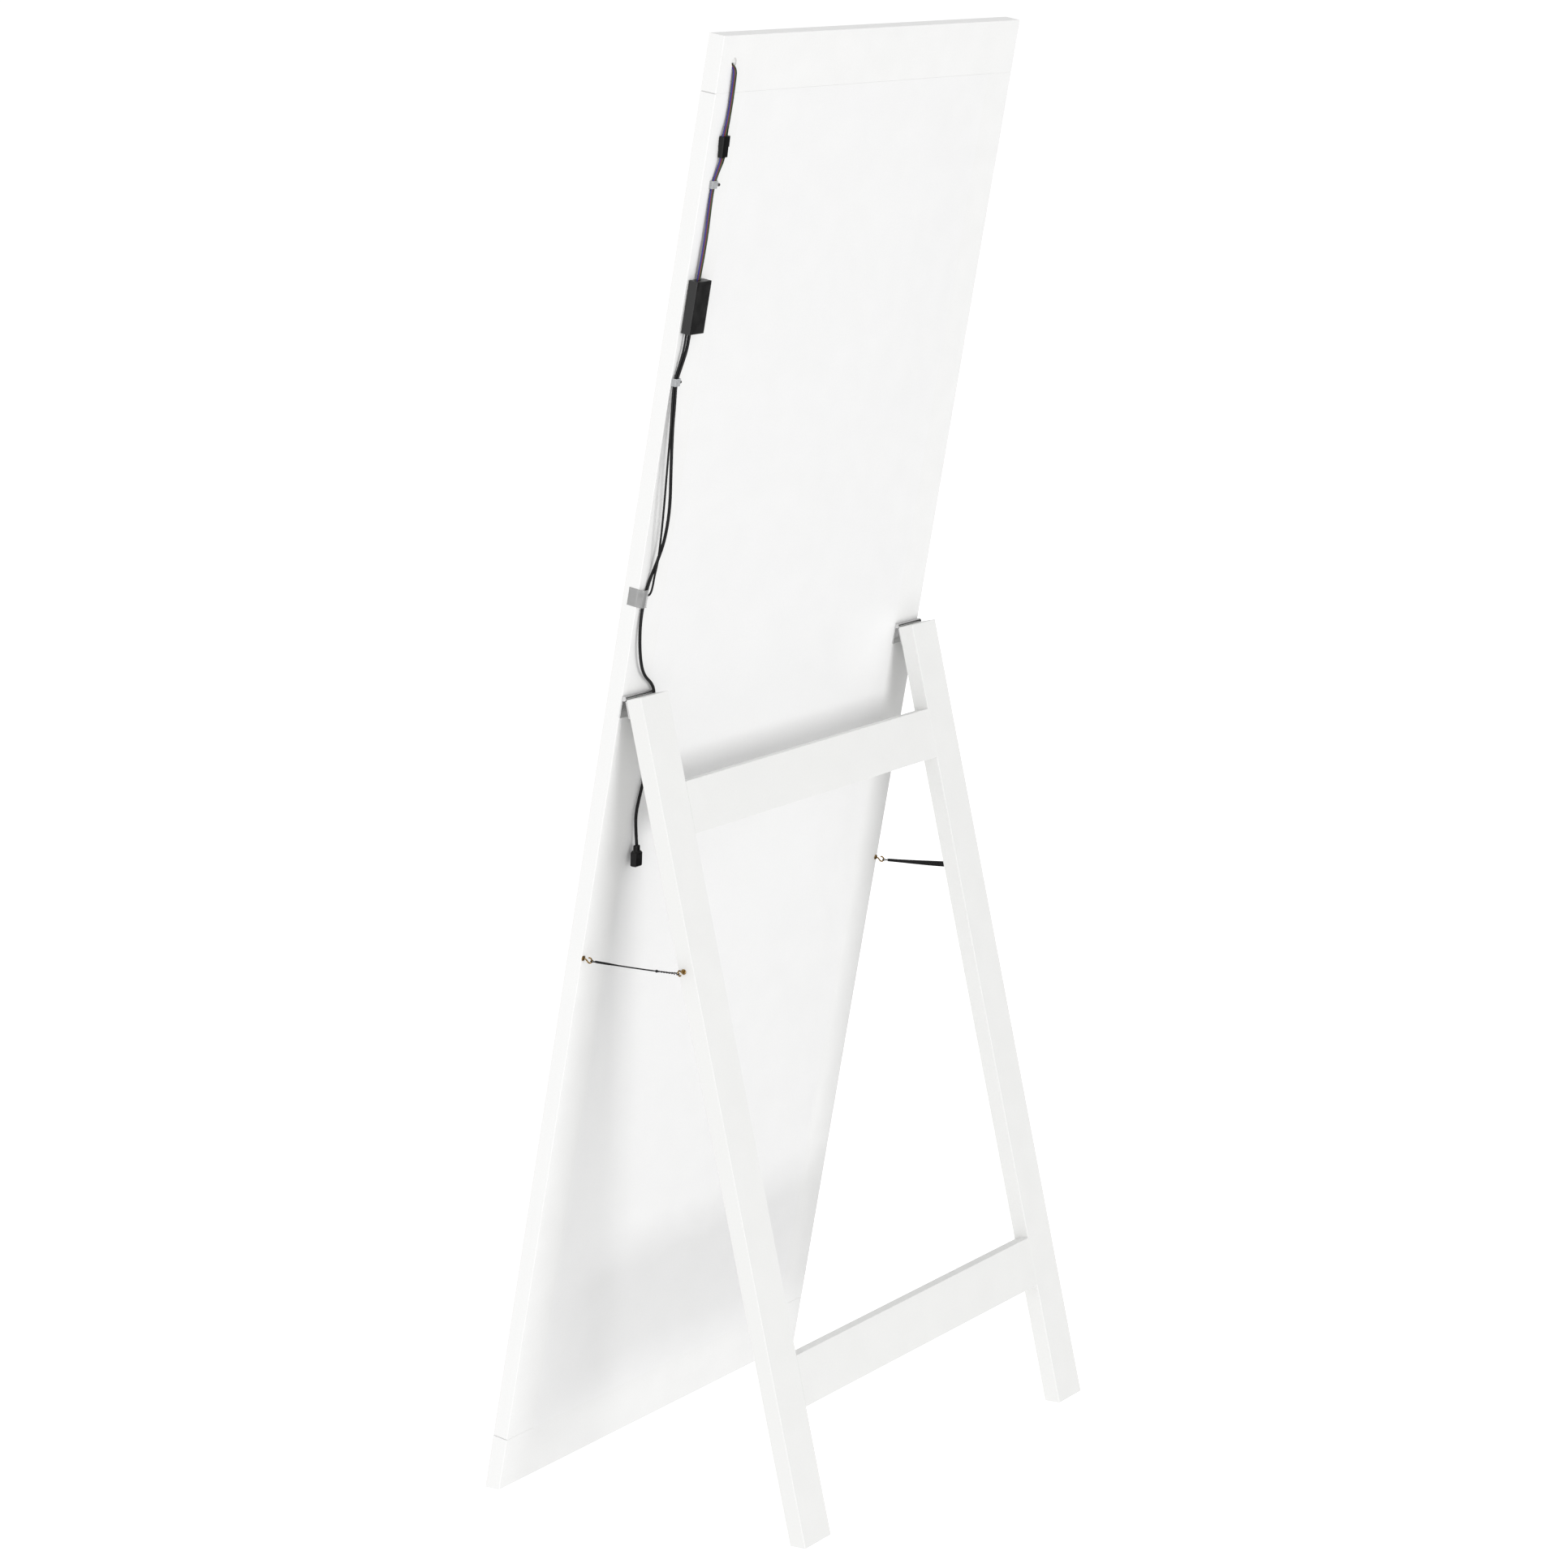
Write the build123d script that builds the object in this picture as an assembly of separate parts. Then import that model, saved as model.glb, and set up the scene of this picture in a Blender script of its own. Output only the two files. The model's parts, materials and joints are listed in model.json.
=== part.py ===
from build123d import *
import os
from math import cos, pi, radians, sin, tan

# A floor-standing mirror held up by a hinged rear stand, with a USB-powered light strip.
#
# Every piece is first drawn with the stand closed and the mirror upright, in millimetres:
# x runs to the right as seen from the front, y runs backwards from the mirror's rear face,
# and z runs up from the mirror's rear bottom edge. The stand is then opened about its hinge
# and the whole object is leaned back until the mirror's bottom edge and the feet lie on z = 0.

# Overall shape
MIRROR_WIDTH = 600.0
MIRROR_HEIGHT = 1500.0
BOARD = 17.0  # thickness of every board
LEAN = 10.47  # degrees, the mirror from upright
SPLAY = 12.55  # degrees, the legs from upright
OPENING = LEAN + SPLAY  # degrees between the mirror and the legs
EASE = 0.3  # broken long edges of the boards
SIDE_SEAM = (0.8, 1.2)  # width and depth of the groove at a board joint on the outer side
REAR_SEAM = (0.3, 0.25)  # and on the rear face

# Mirror frame
RAIL_HEIGHT = 55.0
STILE_WIDTH = 50.0
LEDGE_WIDTH = 8.0  # ledge that carries the glass and the back panel
PANEL_THICKNESS = 5.0
PANEL_TOP_GAP = 0.08
GLASS_THICKNESS = 4.0
GLASS_GAP = 0.3
FRAME_DOWEL_RADIUS = 3.0
FRAME_DOWEL_LENGTH = 30.0
FRAME_DOWEL_Y = -4.5
FRAME_DOWEL_X = (259.0, 291.0)

# Light strip round the front of the frame
LIGHT_INSET = 26.0  # centre of its channel from the frame's outer edges
CHANNEL_WIDTH = 12.0
CHANNEL_DEPTH = 8.0
STRIP_WIDTH = 10.0
STRIP_THICKNESS = 1.4
DIFFUSER_THICKNESS = 1.6
DIFFUSER_GAP = 0.1

# Stand
LEG_WIDTH = 51.0
LEG_TOP_DROP = 1.5  # leg's top edge below the hinge axis
LEG_SPARE = 1.1  # how much longer a leg is drawn before its foot is cut
UPPER_RAIL_DROP = 91.0  # top of the upper cross rail below the leg's top
LOWER_RAIL_DROP = 672.5
CROSS_RAIL_HEIGHT = 52.5
RAIL_DOWEL_RADIUS = 4.0
RAIL_DOWEL_LENGTH = 40.0
RAIL_DOWEL_SPREAD = 26.0
WOOD_CLEARANCE = 0.03  # of screws, nails and dowels in their holes

# Butt hinges
HINGE_Z = 847.2
HINGE_X = 275.0
HINGE_LENGTH = 50.0
KNUCKLES = 5
KNUCKLE_RADIUS = 2.4
KNUCKLE_GAP = 0.1
HINGE_OFFSET = 2.5  # from the axis to the mirror's rear face, and to the leg's front face
LEAF_THICKNESS = 1.4
LEAF_TOP = 2.9  # below the axis
LEAF_BOTTOM = 20.0
KNUCKLE_WEB = 1.4  # top of the web between a leaf and its knuckles, below the axis
PIN_RADIUS = 1.25
FIXED_BORE_RADIUS = 1.27
MOVING_BORE_RADIUS = 1.30
SCREW_SPREAD = 28.0
SCREW_DROP = 12.0
SCREW_HEAD_RADIUS = 2.6
SCREW_RADIUS = 1.4
SCREW_LENGTH = 10.0
SCREW_RECESS = (2.8, 0.6, 0.7)  # length, width and depth of its cross
COUNTERSINK_CLEARANCE = 0.02

# Cup hooks and straps
HOOK_WIRE = 0.8  # radius
HOOK_CURL = 2.6  # radius of the curl's centre line
HOOK_NECK = 2.4
HOOK_DIP = 35.0  # degrees
HOOK_CURL_TURN = 238.0  # degrees
HOOK_FLANGE_RADIUS = 2.75
HOOK_FLANGE_THICKNESS = 1.0
HOOK_FLANGE_EDGE = 0.4
HOOK_THREAD_RADIUS = 1.0
HOOK_THREAD_LENGTH = 10.0
MIRROR_HOOK_X = 297.0
MIRROR_HOOK_Z = 577.0
LEG_HOOK_DROP = 272.0  # below the leg's top
LEG_HOOK_SETBACK = 5.5  # behind the leg's front face
STRAP_RADIUS = 1.6
STRAP_CLEARANCE = 0.4

# Light controller
BOX_X = (270.5, 297.3)
BOX_Z = (1213.0, 1265.0)
BOX_SPLIT = 6.2
BOX_TOP = 10.6
BOX_WALL = 1.2
BOX_EDGE = 0.6
BOX_OPENING_GAP = 0.1  # round the leads where they go in
PAD_THICKNESS = 0.8
BOARD_Y = (2.6, 4.2)  # circuit board
BOARD_GAP = 0.3  # from the case's sides
BOARD_END_GAP = 1.0  # from the leads' ends
PAD_INSET = 1.0
LEAD_Y = 3.6  # where the leads pass through the case's wall
LEAD_INSET = 2.8  # length of a lead inside a housing

# Four-wire ribbon and its connector
WIRE_COLOURS = ("blue", "red", "green", "black")
WIRE_DIAMETER = 1.5
WIRE_PITCH = 1.6
CABLE_HOLE_X = 274.6
CABLE_HOLE_Z = 1474.0
CABLE_HOLE_RADIUS = 4.5
RIBBON_HOLE_DROP = 1.6  # ribbon below the hole's centre
RIBBON_SLOT_GAP = 0.15  # round the ribbon where it passes through a slot
HOLE_PLUG_Y = (-5.0, -2.0)
UPPER_RIBBON = [(273.4, 2.6, 1452.4), (272.2, 2.2, 1432.4), (273.4, 2.6, 1417.4)]
LOWER_RIBBON = [
    (277.2, 2.3, 1370.0),
    (281.0, 1.5, 1357.0),
    (281.9, 2.2, 1337.0),
    (281.9, 3.4, 1310.0),
    (283.3, 3.9, 1285.0),
]
RIBBON_BEND_Y = 2.4  # where the ribbon turns down outside its hole
RIBBON_END_X = 283.9
RIBBON_END_RISE = 5.0  # of straight ribbon above the controller
RIBBON_END_DROP = 0.05  # of the ribbon towards the mirror, inside the controller
CONNECTOR_CENTRE = (274.6, 2.95, 1393.4)
CONNECTOR_TURN = 5.0  # degrees
CONNECTOR_PITCH = 2.54
SOCKET_SIZE = (12.0, 5.6, 10.6)
PLUG_SIZE = (10.8, 4.8, 10.0)
NOSE_SIZE = (9.4, 3.6, 4.8)
NOSE_GAP = 0.15
HOUSING_EDGE = 0.5
CONTACT_OFFSET = 2.0  # of the contacts' middle above the housings' joint
CONNECTOR_STUB = 2.5  # of straight wire outside a housing
CONTACT_RADIUS = 0.3
CONTACT_LENGTH = 10.0
CONTACT_GAP = 0.04
WIRE_HOLE_RADIUS = 0.85

# Nail-in cable clips
CLIP_HEIGHT = 7.5
CLIP_WALL = 0.8
BOSS_WIDTH = 3.2
BOSS_HEIGHT = 3.8
BOSS_EDGE = 0.8
NAIL_RADIUS = 0.8
NAIL_HEAD_RADIUS = 1.4
NAIL_HEAD_HEIGHT = 0.8
NAIL_HEAD_EDGE = 0.3
NAIL_DEPTH = 7.5
RIBBON_CLIP = {"x": (276.2, 284.8), "height": 2.7, "z": 1357.0}
LEAD_CLIP = {"x": (291.0, 298.8), "height": 4.4, "z": 1165.0}

# USB lead and infrared lead, each a list of (x, y, z) with the stand closed
USB_DIAMETER = 3.2
USB_ROUTE = [
    (285.4, 3.6, 1215.8),
    (285.2, 3.8, 1199.0),
    (289.8, 3.2, 1182.0),
    (293.9, 1.9, 1165.0),
    (295.4, 5.0, 1146.0),
    (295.4, 7.2, 1118.0),
    (291.6, 10.8, 1076.0),
    (285.0, 12.0, 1040.0),
    (282.0, 10.0, 1008.0),
    (282.8, 5.4, 984.0),
    (286.0, 2.2, 966.0),
    (290.0, 1.9, 948.0),
    (292.8, 3.2, 925.0),
    (290.3, 5.2, 900.0),
    (283.0, 6.0, 880.0),
    (271.5, 5.2, 867.0),
    (253.5, 4.2, 857.0),
    (243.8, 3.0, 846.0),
    (241.2, 2.5, 824.0),
    (237.8, 2.4, 786.0),
    (236.4, 2.5, 757.0),
    (240.6, 2.6, 736.0),
    (243.0, 3.0, 719.0),
    (240.0, 4.0, 703.0),
    (237.4, 6.3, 687.0),
]
IR_DIAMETER = 2.1
IR_ROUTE = [
    (291.4, 3.6, 1215.8),
    (291.0, 3.8, 1199.0),
    (294.4, 3.0, 1182.0),
    (297.1, 1.7, 1165.0),
    (299.1, 4.4, 1146.0),
    (299.0, 7.4, 1118.0),
    (297.4, 9.6, 1076.0),
    (294.0, 10.6, 1040.0),
    (290.2, 10.2, 1010.0),
    (286.4, 8.6, 986.0),
    (285.2, 6.6, 971.0),
    (282.6, 5.0, 961.5),
    (283.6, 4.8, 954.0),
    (288.8, 5.3, 951.2),
    (293.4, 3.6, 952.4),
]
RECEIVER_RADIUS = 2.0
RECEIVER_LENGTH = 4.8
RECEIVER_GAP = 0.45  # between the lead's slanting end and the sensor
RECEIVER_OFFSET = 0.4  # of its axis from the lead's end, towards the mirror
RECEIVER_DOME = 1.6

# Tape that holds the leads near the frame's edge
TAPE_THICKNESS = 0.25
TAPE_Z = (940.0, 958.0)
TAPE_LINE = [
    (300.0, -10.6),
    (300.0, 0.0),
    (299.6, 5.2),
    (295.0, 6.4),
    (291.5, 6.6),
]

# USB plug with a push-on cap, hanging from the end of its lead
PLUG_HANG = 8.3  # degrees from the mirror's plane
PLUG_NECK = (6.8, 4.8, 5.4)
PLUG_NECK_EDGE = 1.2
PLUG_BODY = (11.4, 6.6, 7.0)
PLUG_SHOULDER = 2.2
PLUG_CAP_LENGTH = 7.2
PLUG_CAP_EDGE = 1.0
PLUG_SHELL = (9.0, 4.2, 6.0)
PLUG_SHELL_WALL = 0.4
PLUG_SHELL_GAP = 0.1

HALF_WIDTH = MIRROR_WIDTH / 2
OPENING_X = HALF_WIDTH - STILE_WIDTH
RAIL_Z = (RAIL_HEIGHT, MIRROR_HEIGHT - RAIL_HEIGHT)
LIGHT_X = HALF_WIDTH - LIGHT_INSET
LIGHT_Z = (LIGHT_INSET, MIRROR_HEIGHT - LIGHT_INSET)
CHANNEL_FLOOR = CHANNEL_DEPTH - BOARD
LEG_FRONT = 2 * HINGE_OFFSET
LEG_TOP = HINGE_Z - LEG_TOP_DROP
LEG_INNER_X = HALF_WIDTH - LEG_WIDTH
SIDES = (-1, 1)


def leaned(y, z):
    """Where a point of the upright mirror goes when it leans back about its rear bottom edge."""
    a = radians(LEAN)
    return y * cos(a) + z * sin(a), z * cos(a) - y * sin(a)


def half_depth_shift():
    """How far forward the object moves so that its depth is centred on the origin."""
    b = radians(SPLAY)
    hinge_y, hinge_z = leaned(HINGE_OFFSET, HINGE_Z)
    behind = HINGE_OFFSET + BOARD
    down = (hinge_z + behind * sin(b)) / cos(b)
    rear = hinge_y + behind * cos(b) + down * sin(b)
    front = -BOARD / cos(radians(LEAN))
    return (front + rear) / 2


MIRROR_PLACE = Location((0, -half_depth_shift(), 0), (-LEAN, 0, 0))
HINGE_AXIS = Location((0, HINGE_OFFSET, HINGE_Z), (OPENING, 0, 0))
STAND_PLACE = MIRROR_PLACE * HINGE_AXIS * Location((0, -HINGE_OFFSET, -HINGE_Z))


def block(x, y, z):
    """A box between two limits along each axis."""
    size = [b - a for a, b in (x, y, z)]
    centre = [(a + b) / 2 for a, b in (x, y, z)]
    return Pos(*centre) * Box(*size)


def around(centre, size):
    """The two limits of a length centred on a value."""
    return (centre - size / 2, centre + size / 2)


def side_limits(side, inner, outer):
    """Limits along x of something on one side of the middle."""
    return tuple(sorted((side * inner, side * outer)))


def rod(start, direction, radius, length):
    """A round bar from a point, along a direction."""
    return extrude(Plane(origin=start, z_dir=direction) * Circle(radius), amount=length)


def seam_limits(z, width):
    """Limits of a groove of that width in a stile, at the joint at height z."""
    return (z, z + width) if z == RAIL_Z[0] else (z - width, z)


def seam_groove(side, z):
    """The groove round a stile's end, cut from its outer side and its rear face."""
    outer_x = side_limits(side, HALF_WIDTH - SIDE_SEAM[1], HALF_WIDTH)
    rear_x = side_limits(side, OPENING_X, HALF_WIDTH)
    outer = block(outer_x, (-BOARD, 0), seam_limits(z, SIDE_SEAM[0]))
    rear = block(rear_x, (-REAR_SEAM[1], 0), seam_limits(z, REAR_SEAM[0]))
    return outer + rear


def light_channel():
    """The channel round the front of the frame, as one solid to be cut away."""
    y = (-BOARD, CHANNEL_FLOOR)
    reach = CHANNEL_WIDTH / 2
    bars = [block((-LIGHT_X - reach, LIGHT_X + reach), y, around(z, CHANNEL_WIDTH)) for z in LIGHT_Z]
    for side in SIDES:
        bars.append(block(around(side * LIGHT_X, CHANNEL_WIDTH), y, LIGHT_Z))
    return Compound(bars)


def frame_dowel_rods(radius):
    """The dowels that join the stiles to the rails."""
    rods = []
    for side in SIDES:
        for x in FRAME_DOWEL_X:
            for z in RAIL_Z:
                start = (side * x, FRAME_DOWEL_Y, z - FRAME_DOWEL_LENGTH / 2)
                rods.append(rod(start, (0, 0, 1), radius, FRAME_DOWEL_LENGTH))
    return rods


def hinge_screw_points(side):
    """Centres along x and z of one leaf's screws."""
    z = HINGE_Z - SCREW_DROP
    return [(side * HINGE_X + offset, z) for offset in (-SCREW_SPREAD / 2, SCREW_SPREAD / 2)]


def nail_x(clip):
    """Centre of a clip's nail, beside its arch."""
    return clip["x"][0] - CLIP_WALL - BOSS_WIDTH / 2


def mirror_fastener_holes():
    """Holes in the mirror frame for its hinge screws, hooks and clip nails."""
    holes = []
    for side in SIDES:
        for x, z in hinge_screw_points(side):
            radius = SCREW_RADIUS + WOOD_CLEARANCE
            holes.append(rod((x, LEAF_THICKNESS, z), (0, -1, 0), radius, SCREW_LENGTH + WOOD_CLEARANCE))
        start = (side * MIRROR_HOOK_X, 0, MIRROR_HOOK_Z)
        radius = HOOK_THREAD_RADIUS + WOOD_CLEARANCE
        holes.append(rod(start, (0, -1, 0), radius, HOOK_THREAD_LENGTH + WOOD_CLEARANCE))
    for clip in (RIBBON_CLIP, LEAD_CLIP):
        start = (nail_x(clip), 0, clip["z"])
        radius = NAIL_RADIUS + WOOD_CLEARANCE
        holes.append(rod(start, (0, -1, 0), radius, NAIL_DEPTH + WOOD_CLEARANCE))
    return Compound(holes)


def stile(side):
    """One upright of the mirror frame, with the ledge for the glass and the back panel."""
    body = block(side_limits(side, OPENING_X, HALF_WIDTH), (-BOARD, 0), RAIL_Z)
    outer_edges = body.edges().filter_by(Axis.Z).sort_by(Axis.X, reverse=side > 0)[:2]
    body = chamfer(outer_edges, EASE)
    ledge_y = (GLASS_THICKNESS - BOARD, -PANEL_THICKNESS)
    body += block(side_limits(side, OPENING_X - LEDGE_WIDTH, OPENING_X), ledge_y, RAIL_Z)
    for z in RAIL_Z:
        body -= seam_groove(side, z)
    body -= light_channel()
    body -= Compound(frame_dowel_rods(FRAME_DOWEL_RADIUS + WOOD_CLEARANCE))
    return body - mirror_fastener_holes()


def frame_rail(z, ledge_z):
    """A rail across the whole width of the mirror frame, with its part of the ledge."""
    body = block((-HALF_WIDTH, HALF_WIDTH), (-BOARD, 0), z)
    ends = body.edges().filter_by(Axis.Z)
    body = chamfer(ends, EASE)
    reach = OPENING_X - LEDGE_WIDTH
    body += block((-reach, reach), (GLASS_THICKNESS - BOARD, -PANEL_THICKNESS), ledge_z)
    body -= light_channel()
    return body - Compound(frame_dowel_rods(FRAME_DOWEL_RADIUS + WOOD_CLEARANCE))


def top_rail():
    """The top of the mirror frame, with the hole that the ribbon comes out of."""
    body = frame_rail((RAIL_Z[1], MIRROR_HEIGHT), (RAIL_Z[1] - LEDGE_WIDTH, RAIL_Z[1]))
    edges = body.edges().filter_by(Axis.X).group_by(Axis.Z)[-1]
    body = chamfer(edges, EASE)
    hole = rod((CABLE_HOLE_X, 0, CABLE_HOLE_Z), (0, -1, 0), CABLE_HOLE_RADIUS, -CHANNEL_FLOOR)
    return body - hole


def bottom_rail():
    """The bottom of the mirror frame, cut level so that it stands flat on the floor."""
    below = BOARD * tan(radians(LEAN)) + 1
    body = frame_rail((-below, RAIL_Z[0]), (RAIL_Z[0], RAIL_Z[0] + LEDGE_WIDTH))
    return split(MIRROR_PLACE * body, bisect_by=Plane.XY, keep=Keep.TOP)


def back_panel():
    """The thin panel let into the back of the frame."""
    z = (RAIL_Z[0], RAIL_Z[1] - PANEL_TOP_GAP)
    return block((-OPENING_X, OPENING_X), (-PANEL_THICKNESS, 0), z)


def mirror_glass():
    """The silvered glass, flush with the front of the frame."""
    x = OPENING_X - GLASS_GAP
    z = (RAIL_Z[0] + GLASS_GAP, RAIL_Z[1] - GLASS_GAP)
    return block((-x, x), (-BOARD, GLASS_THICKNESS - BOARD), z)


def channel_bars(width, y, end_gap):
    """Four bars round the light channel: two uprights and two shorter ones between them."""
    reach = width / 2
    upright_z = (LIGHT_Z[0] - reach, LIGHT_Z[1] + reach)
    bars = [block(around(side * LIGHT_X, width), y, upright_z) for side in SIDES]
    inner = LIGHT_X - reach - end_gap
    bars += [block((-inner, inner), y, around(z, width)) for z in LIGHT_Z]
    return bars


def light_strips():
    """The light strips on the floor of the channel."""
    return channel_bars(STRIP_WIDTH, (CHANNEL_FLOOR - STRIP_THICKNESS, CHANNEL_FLOOR), 1.0)


def light_diffusers():
    """The milky covers that close the channel, flush with the front."""
    width = CHANNEL_WIDTH - 2 * DIFFUSER_GAP
    return channel_bars(width, (-BOARD, DIFFUSER_THICKNESS - BOARD), 2 * DIFFUSER_GAP)


def leg_hook_point(side):
    """Where a leg's hook is screwed in."""
    return (side * HALF_WIDTH, LEG_FRONT + LEG_HOOK_SETBACK, LEG_TOP - LEG_HOOK_DROP)


def rail_dowel_rods(radius):
    """The dowels that join the cross rails to the legs."""
    rods = []
    y = LEG_FRONT + BOARD / 2
    for side in SIDES:
        for drop in (UPPER_RAIL_DROP, LOWER_RAIL_DROP):
            middle = LEG_TOP - drop - CROSS_RAIL_HEIGHT / 2
            for offset in (-RAIL_DOWEL_SPREAD / 2, RAIL_DOWEL_SPREAD / 2):
                start = (side * LEG_INNER_X - RAIL_DOWEL_LENGTH / 2, y, middle + offset)
                rods.append(rod(start, (1, 0, 0), radius, RAIL_DOWEL_LENGTH))
    return rods


def leg(side):
    """One leg of the stand, with its foot cut level."""
    length = LEG_SPARE * (LEG_TOP / cos(radians(OPENING)))
    y = (LEG_FRONT, LEG_FRONT + BOARD)
    body = block(side_limits(side, LEG_INNER_X, HALF_WIDTH), y, (LEG_TOP - length, LEG_TOP))
    body = chamfer(body.edges().filter_by(Axis.Z) + body.faces().sort_by(Axis.Z)[-1].edges(), EASE)
    body -= Compound(rail_dowel_rods(RAIL_DOWEL_RADIUS + WOOD_CLEARANCE))
    for x, z in hinge_screw_points(side):
        radius = SCREW_RADIUS + WOOD_CLEARANCE
        start = (x, LEG_FRONT - LEAF_THICKNESS, z)
        body -= rod(start, (0, 1, 0), radius, SCREW_LENGTH + WOOD_CLEARANCE)
    radius = HOOK_THREAD_RADIUS + WOOD_CLEARANCE
    body -= rod(leg_hook_point(side), (-side, 0, 0), radius, HOOK_THREAD_LENGTH + WOOD_CLEARANCE)
    return split(STAND_PLACE * body, bisect_by=Plane.XY, keep=Keep.TOP)


def cross_rail(drop):
    """A rail between the legs."""
    z = (LEG_TOP - drop - CROSS_RAIL_HEIGHT, LEG_TOP - drop)
    body = block((-LEG_INNER_X, LEG_INNER_X), (LEG_FRONT, LEG_FRONT + BOARD), z)
    body = chamfer(body.edges().filter_by(Axis.X), EASE)
    return body - Compound(rail_dowel_rods(RAIL_DOWEL_RADIUS + WOOD_CLEARANCE))


def countersunk_screw(start, direction):
    """A flat-headed wood screw with a cross recess, its head flush with the start point."""
    depth = SCREW_HEAD_RADIUS - SCREW_RADIUS
    plane = Plane(origin=start, z_dir=direction)
    head = Pos(0, 0, depth / 2) * Cone(SCREW_HEAD_RADIUS, SCREW_RADIUS, depth)
    shank = Pos(0, 0, SCREW_LENGTH / 2) * Cylinder(SCREW_RADIUS, SCREW_LENGTH)
    long, short, deep = SCREW_RECESS
    recess = Box(long, short, 2 * deep) + Box(short, long, 2 * deep)
    return plane * (head + shank - recess)


def hinge_leaf(side, moving):
    """One leaf of a hinge with its knuckles, on the mirror, or on the leg when moving."""
    first = side * HINGE_X - HINGE_LENGTH / 2
    step = HINGE_LENGTH / KNUCKLES
    near, far = (LEG_FRONT, LEG_FRONT - LEAF_THICKNESS) if moving else (0, LEAF_THICKNESS)
    y = tuple(sorted((near, far)))
    bore = MOVING_BORE_RADIUS if moving else FIXED_BORE_RADIUS
    body = block((first, first + HINGE_LENGTH), y, (HINGE_Z - LEAF_BOTTOM, HINGE_Z - LEAF_TOP))
    for index in range(moving, KNUCKLES, 2):
        x = (first + index * step + KNUCKLE_GAP, first + (index + 1) * step - KNUCKLE_GAP)
        body += block(x, y, (HINGE_Z - LEAF_TOP, HINGE_Z - KNUCKLE_WEB))
        body += rod((x[0], HINGE_OFFSET, HINGE_Z), (1, 0, 0), KNUCKLE_RADIUS, x[1] - x[0])
    body -= rod((first, HINGE_OFFSET, HINGE_Z), (1, 0, 0), bore, HINGE_LENGTH)
    outward = (0, 1, 0) if moving else (0, -1, 0)
    wide, narrow = SCREW_HEAD_RADIUS + COUNTERSINK_CLEARANCE, SCREW_RADIUS + COUNTERSINK_CLEARANCE
    depth = wide - narrow
    for x, z in hinge_screw_points(side):
        plane = Plane(origin=(x, far, z), z_dir=outward)
        body -= plane * (Pos(0, 0, depth / 2) * Cone(wide, narrow, depth))
        body -= rod((x, far, z), outward, narrow, LEAF_THICKNESS)
    return body


def hinge_pin(side):
    """The pin through a hinge's knuckles."""
    start = (side * HINGE_X - HINGE_LENGTH / 2, HINGE_OFFSET, HINGE_Z)
    return rod(start, (1, 0, 0), PIN_RADIUS, HINGE_LENGTH)


def hinge_screws(moving):
    """The screws of both hinges' leaves on one side of the joint."""
    y = LEG_FRONT - LEAF_THICKNESS if moving else LEAF_THICKNESS
    direction = (0, 1, 0) if moving else (0, -1, 0)
    return [
        countersunk_screw((x, y, z), direction)
        for side in SIDES
        for x, z in hinge_screw_points(side)
    ]


def curl_drop():
    """How far a hook's wire falls between its first bend and its curl."""
    dip = radians(HOOK_DIP)
    return HOOK_CURL * cos(dip) - HOOK_CURL * (1 - cos(dip))


def curl_centre():
    """Distance from a hook's flange to the centre of its curl."""
    dip = radians(HOOK_DIP)
    return HOOK_NECK + 2 * HOOK_CURL * sin(dip) + curl_drop() / tan(dip)


def cup_hook(start, out, opening):
    """A screw-in hook: flange, thread, and a wire that dips and curls round to the opening side."""
    plane = Plane(origin=start, x_dir=out, z_dir=Vector(*out).cross(Vector(*opening)))
    neck = Line((0, 0), (HOOK_NECK, 0))
    bend = JernArc(neck @ 1, neck % 1, HOOK_CURL, -HOOK_DIP)
    straight = Line(bend @ 1, bend @ 1 + (bend % 1) * (curl_drop() / sin(radians(HOOK_DIP))))
    curl = JernArc(straight @ 1, straight % 1, HOOK_CURL, HOOK_CURL_TURN)
    path = plane * Wire([neck.edge(), bend.edge(), straight.edge(), curl.edge()])
    wire = sweep(Plane(origin=start, z_dir=out) * Circle(HOOK_WIRE), path=path)
    tip = Pos(*(path @ 1)) * Sphere(HOOK_WIRE)
    flange = rod(start, out, HOOK_FLANGE_RADIUS, HOOK_FLANGE_THICKNESS)
    rims = flange.edges().filter_by(GeomType.CIRCLE)
    flange = chamfer(rims.sort_by(Axis(start, out))[-1:], HOOK_FLANGE_EDGE)
    thread = rod(start, [-v for v in out], HOOK_THREAD_RADIUS, HOOK_THREAD_LENGTH)
    return wire + tip + flange + thread


def mirror_hooks():
    """The hooks on the back of the mirror, open at the top."""
    return [cup_hook((side * MIRROR_HOOK_X, 0, MIRROR_HOOK_Z), (0, 1, 0), (0, 0, 1)) for side in SIDES]


def leg_hooks():
    """The hooks on the legs' outer sides, open at the bottom."""
    return [cup_hook(leg_hook_point(side), (side, 0, 0), (0, 0, -1)) for side in SIDES]


def strap(side):
    """The tight cord between a mirror hook and a leg hook, as one straight bar."""
    near = HOOK_WIRE + STRAP_CLEARANCE
    reach = curl_centre() + HOOK_CURL
    start = (MIRROR_PLACE * Pos(side * MIRROR_HOOK_X, reach, MIRROR_HOOK_Z)).position
    x, y, z = leg_hook_point(side)
    end = (STAND_PLACE * Pos(x + side * curl_centre(), y, z)).position
    along = (end - start).normalized()
    length = (end - start).length - 2 * near
    return rod(start + along * near, along, STRAP_RADIUS, length)


def tube_radii(points):
    """The largest arc that each corner of a route leaves room for."""
    radii = []
    for before, corner, after in zip(points, points[1:], points[2:]):
        first, second = corner - before, after - corner
        shorter = min(first.length, second.length)
        radii.append(0.45 * shorter / tan(radians(first.get_angle(second)) / 2))
    return radii


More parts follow.
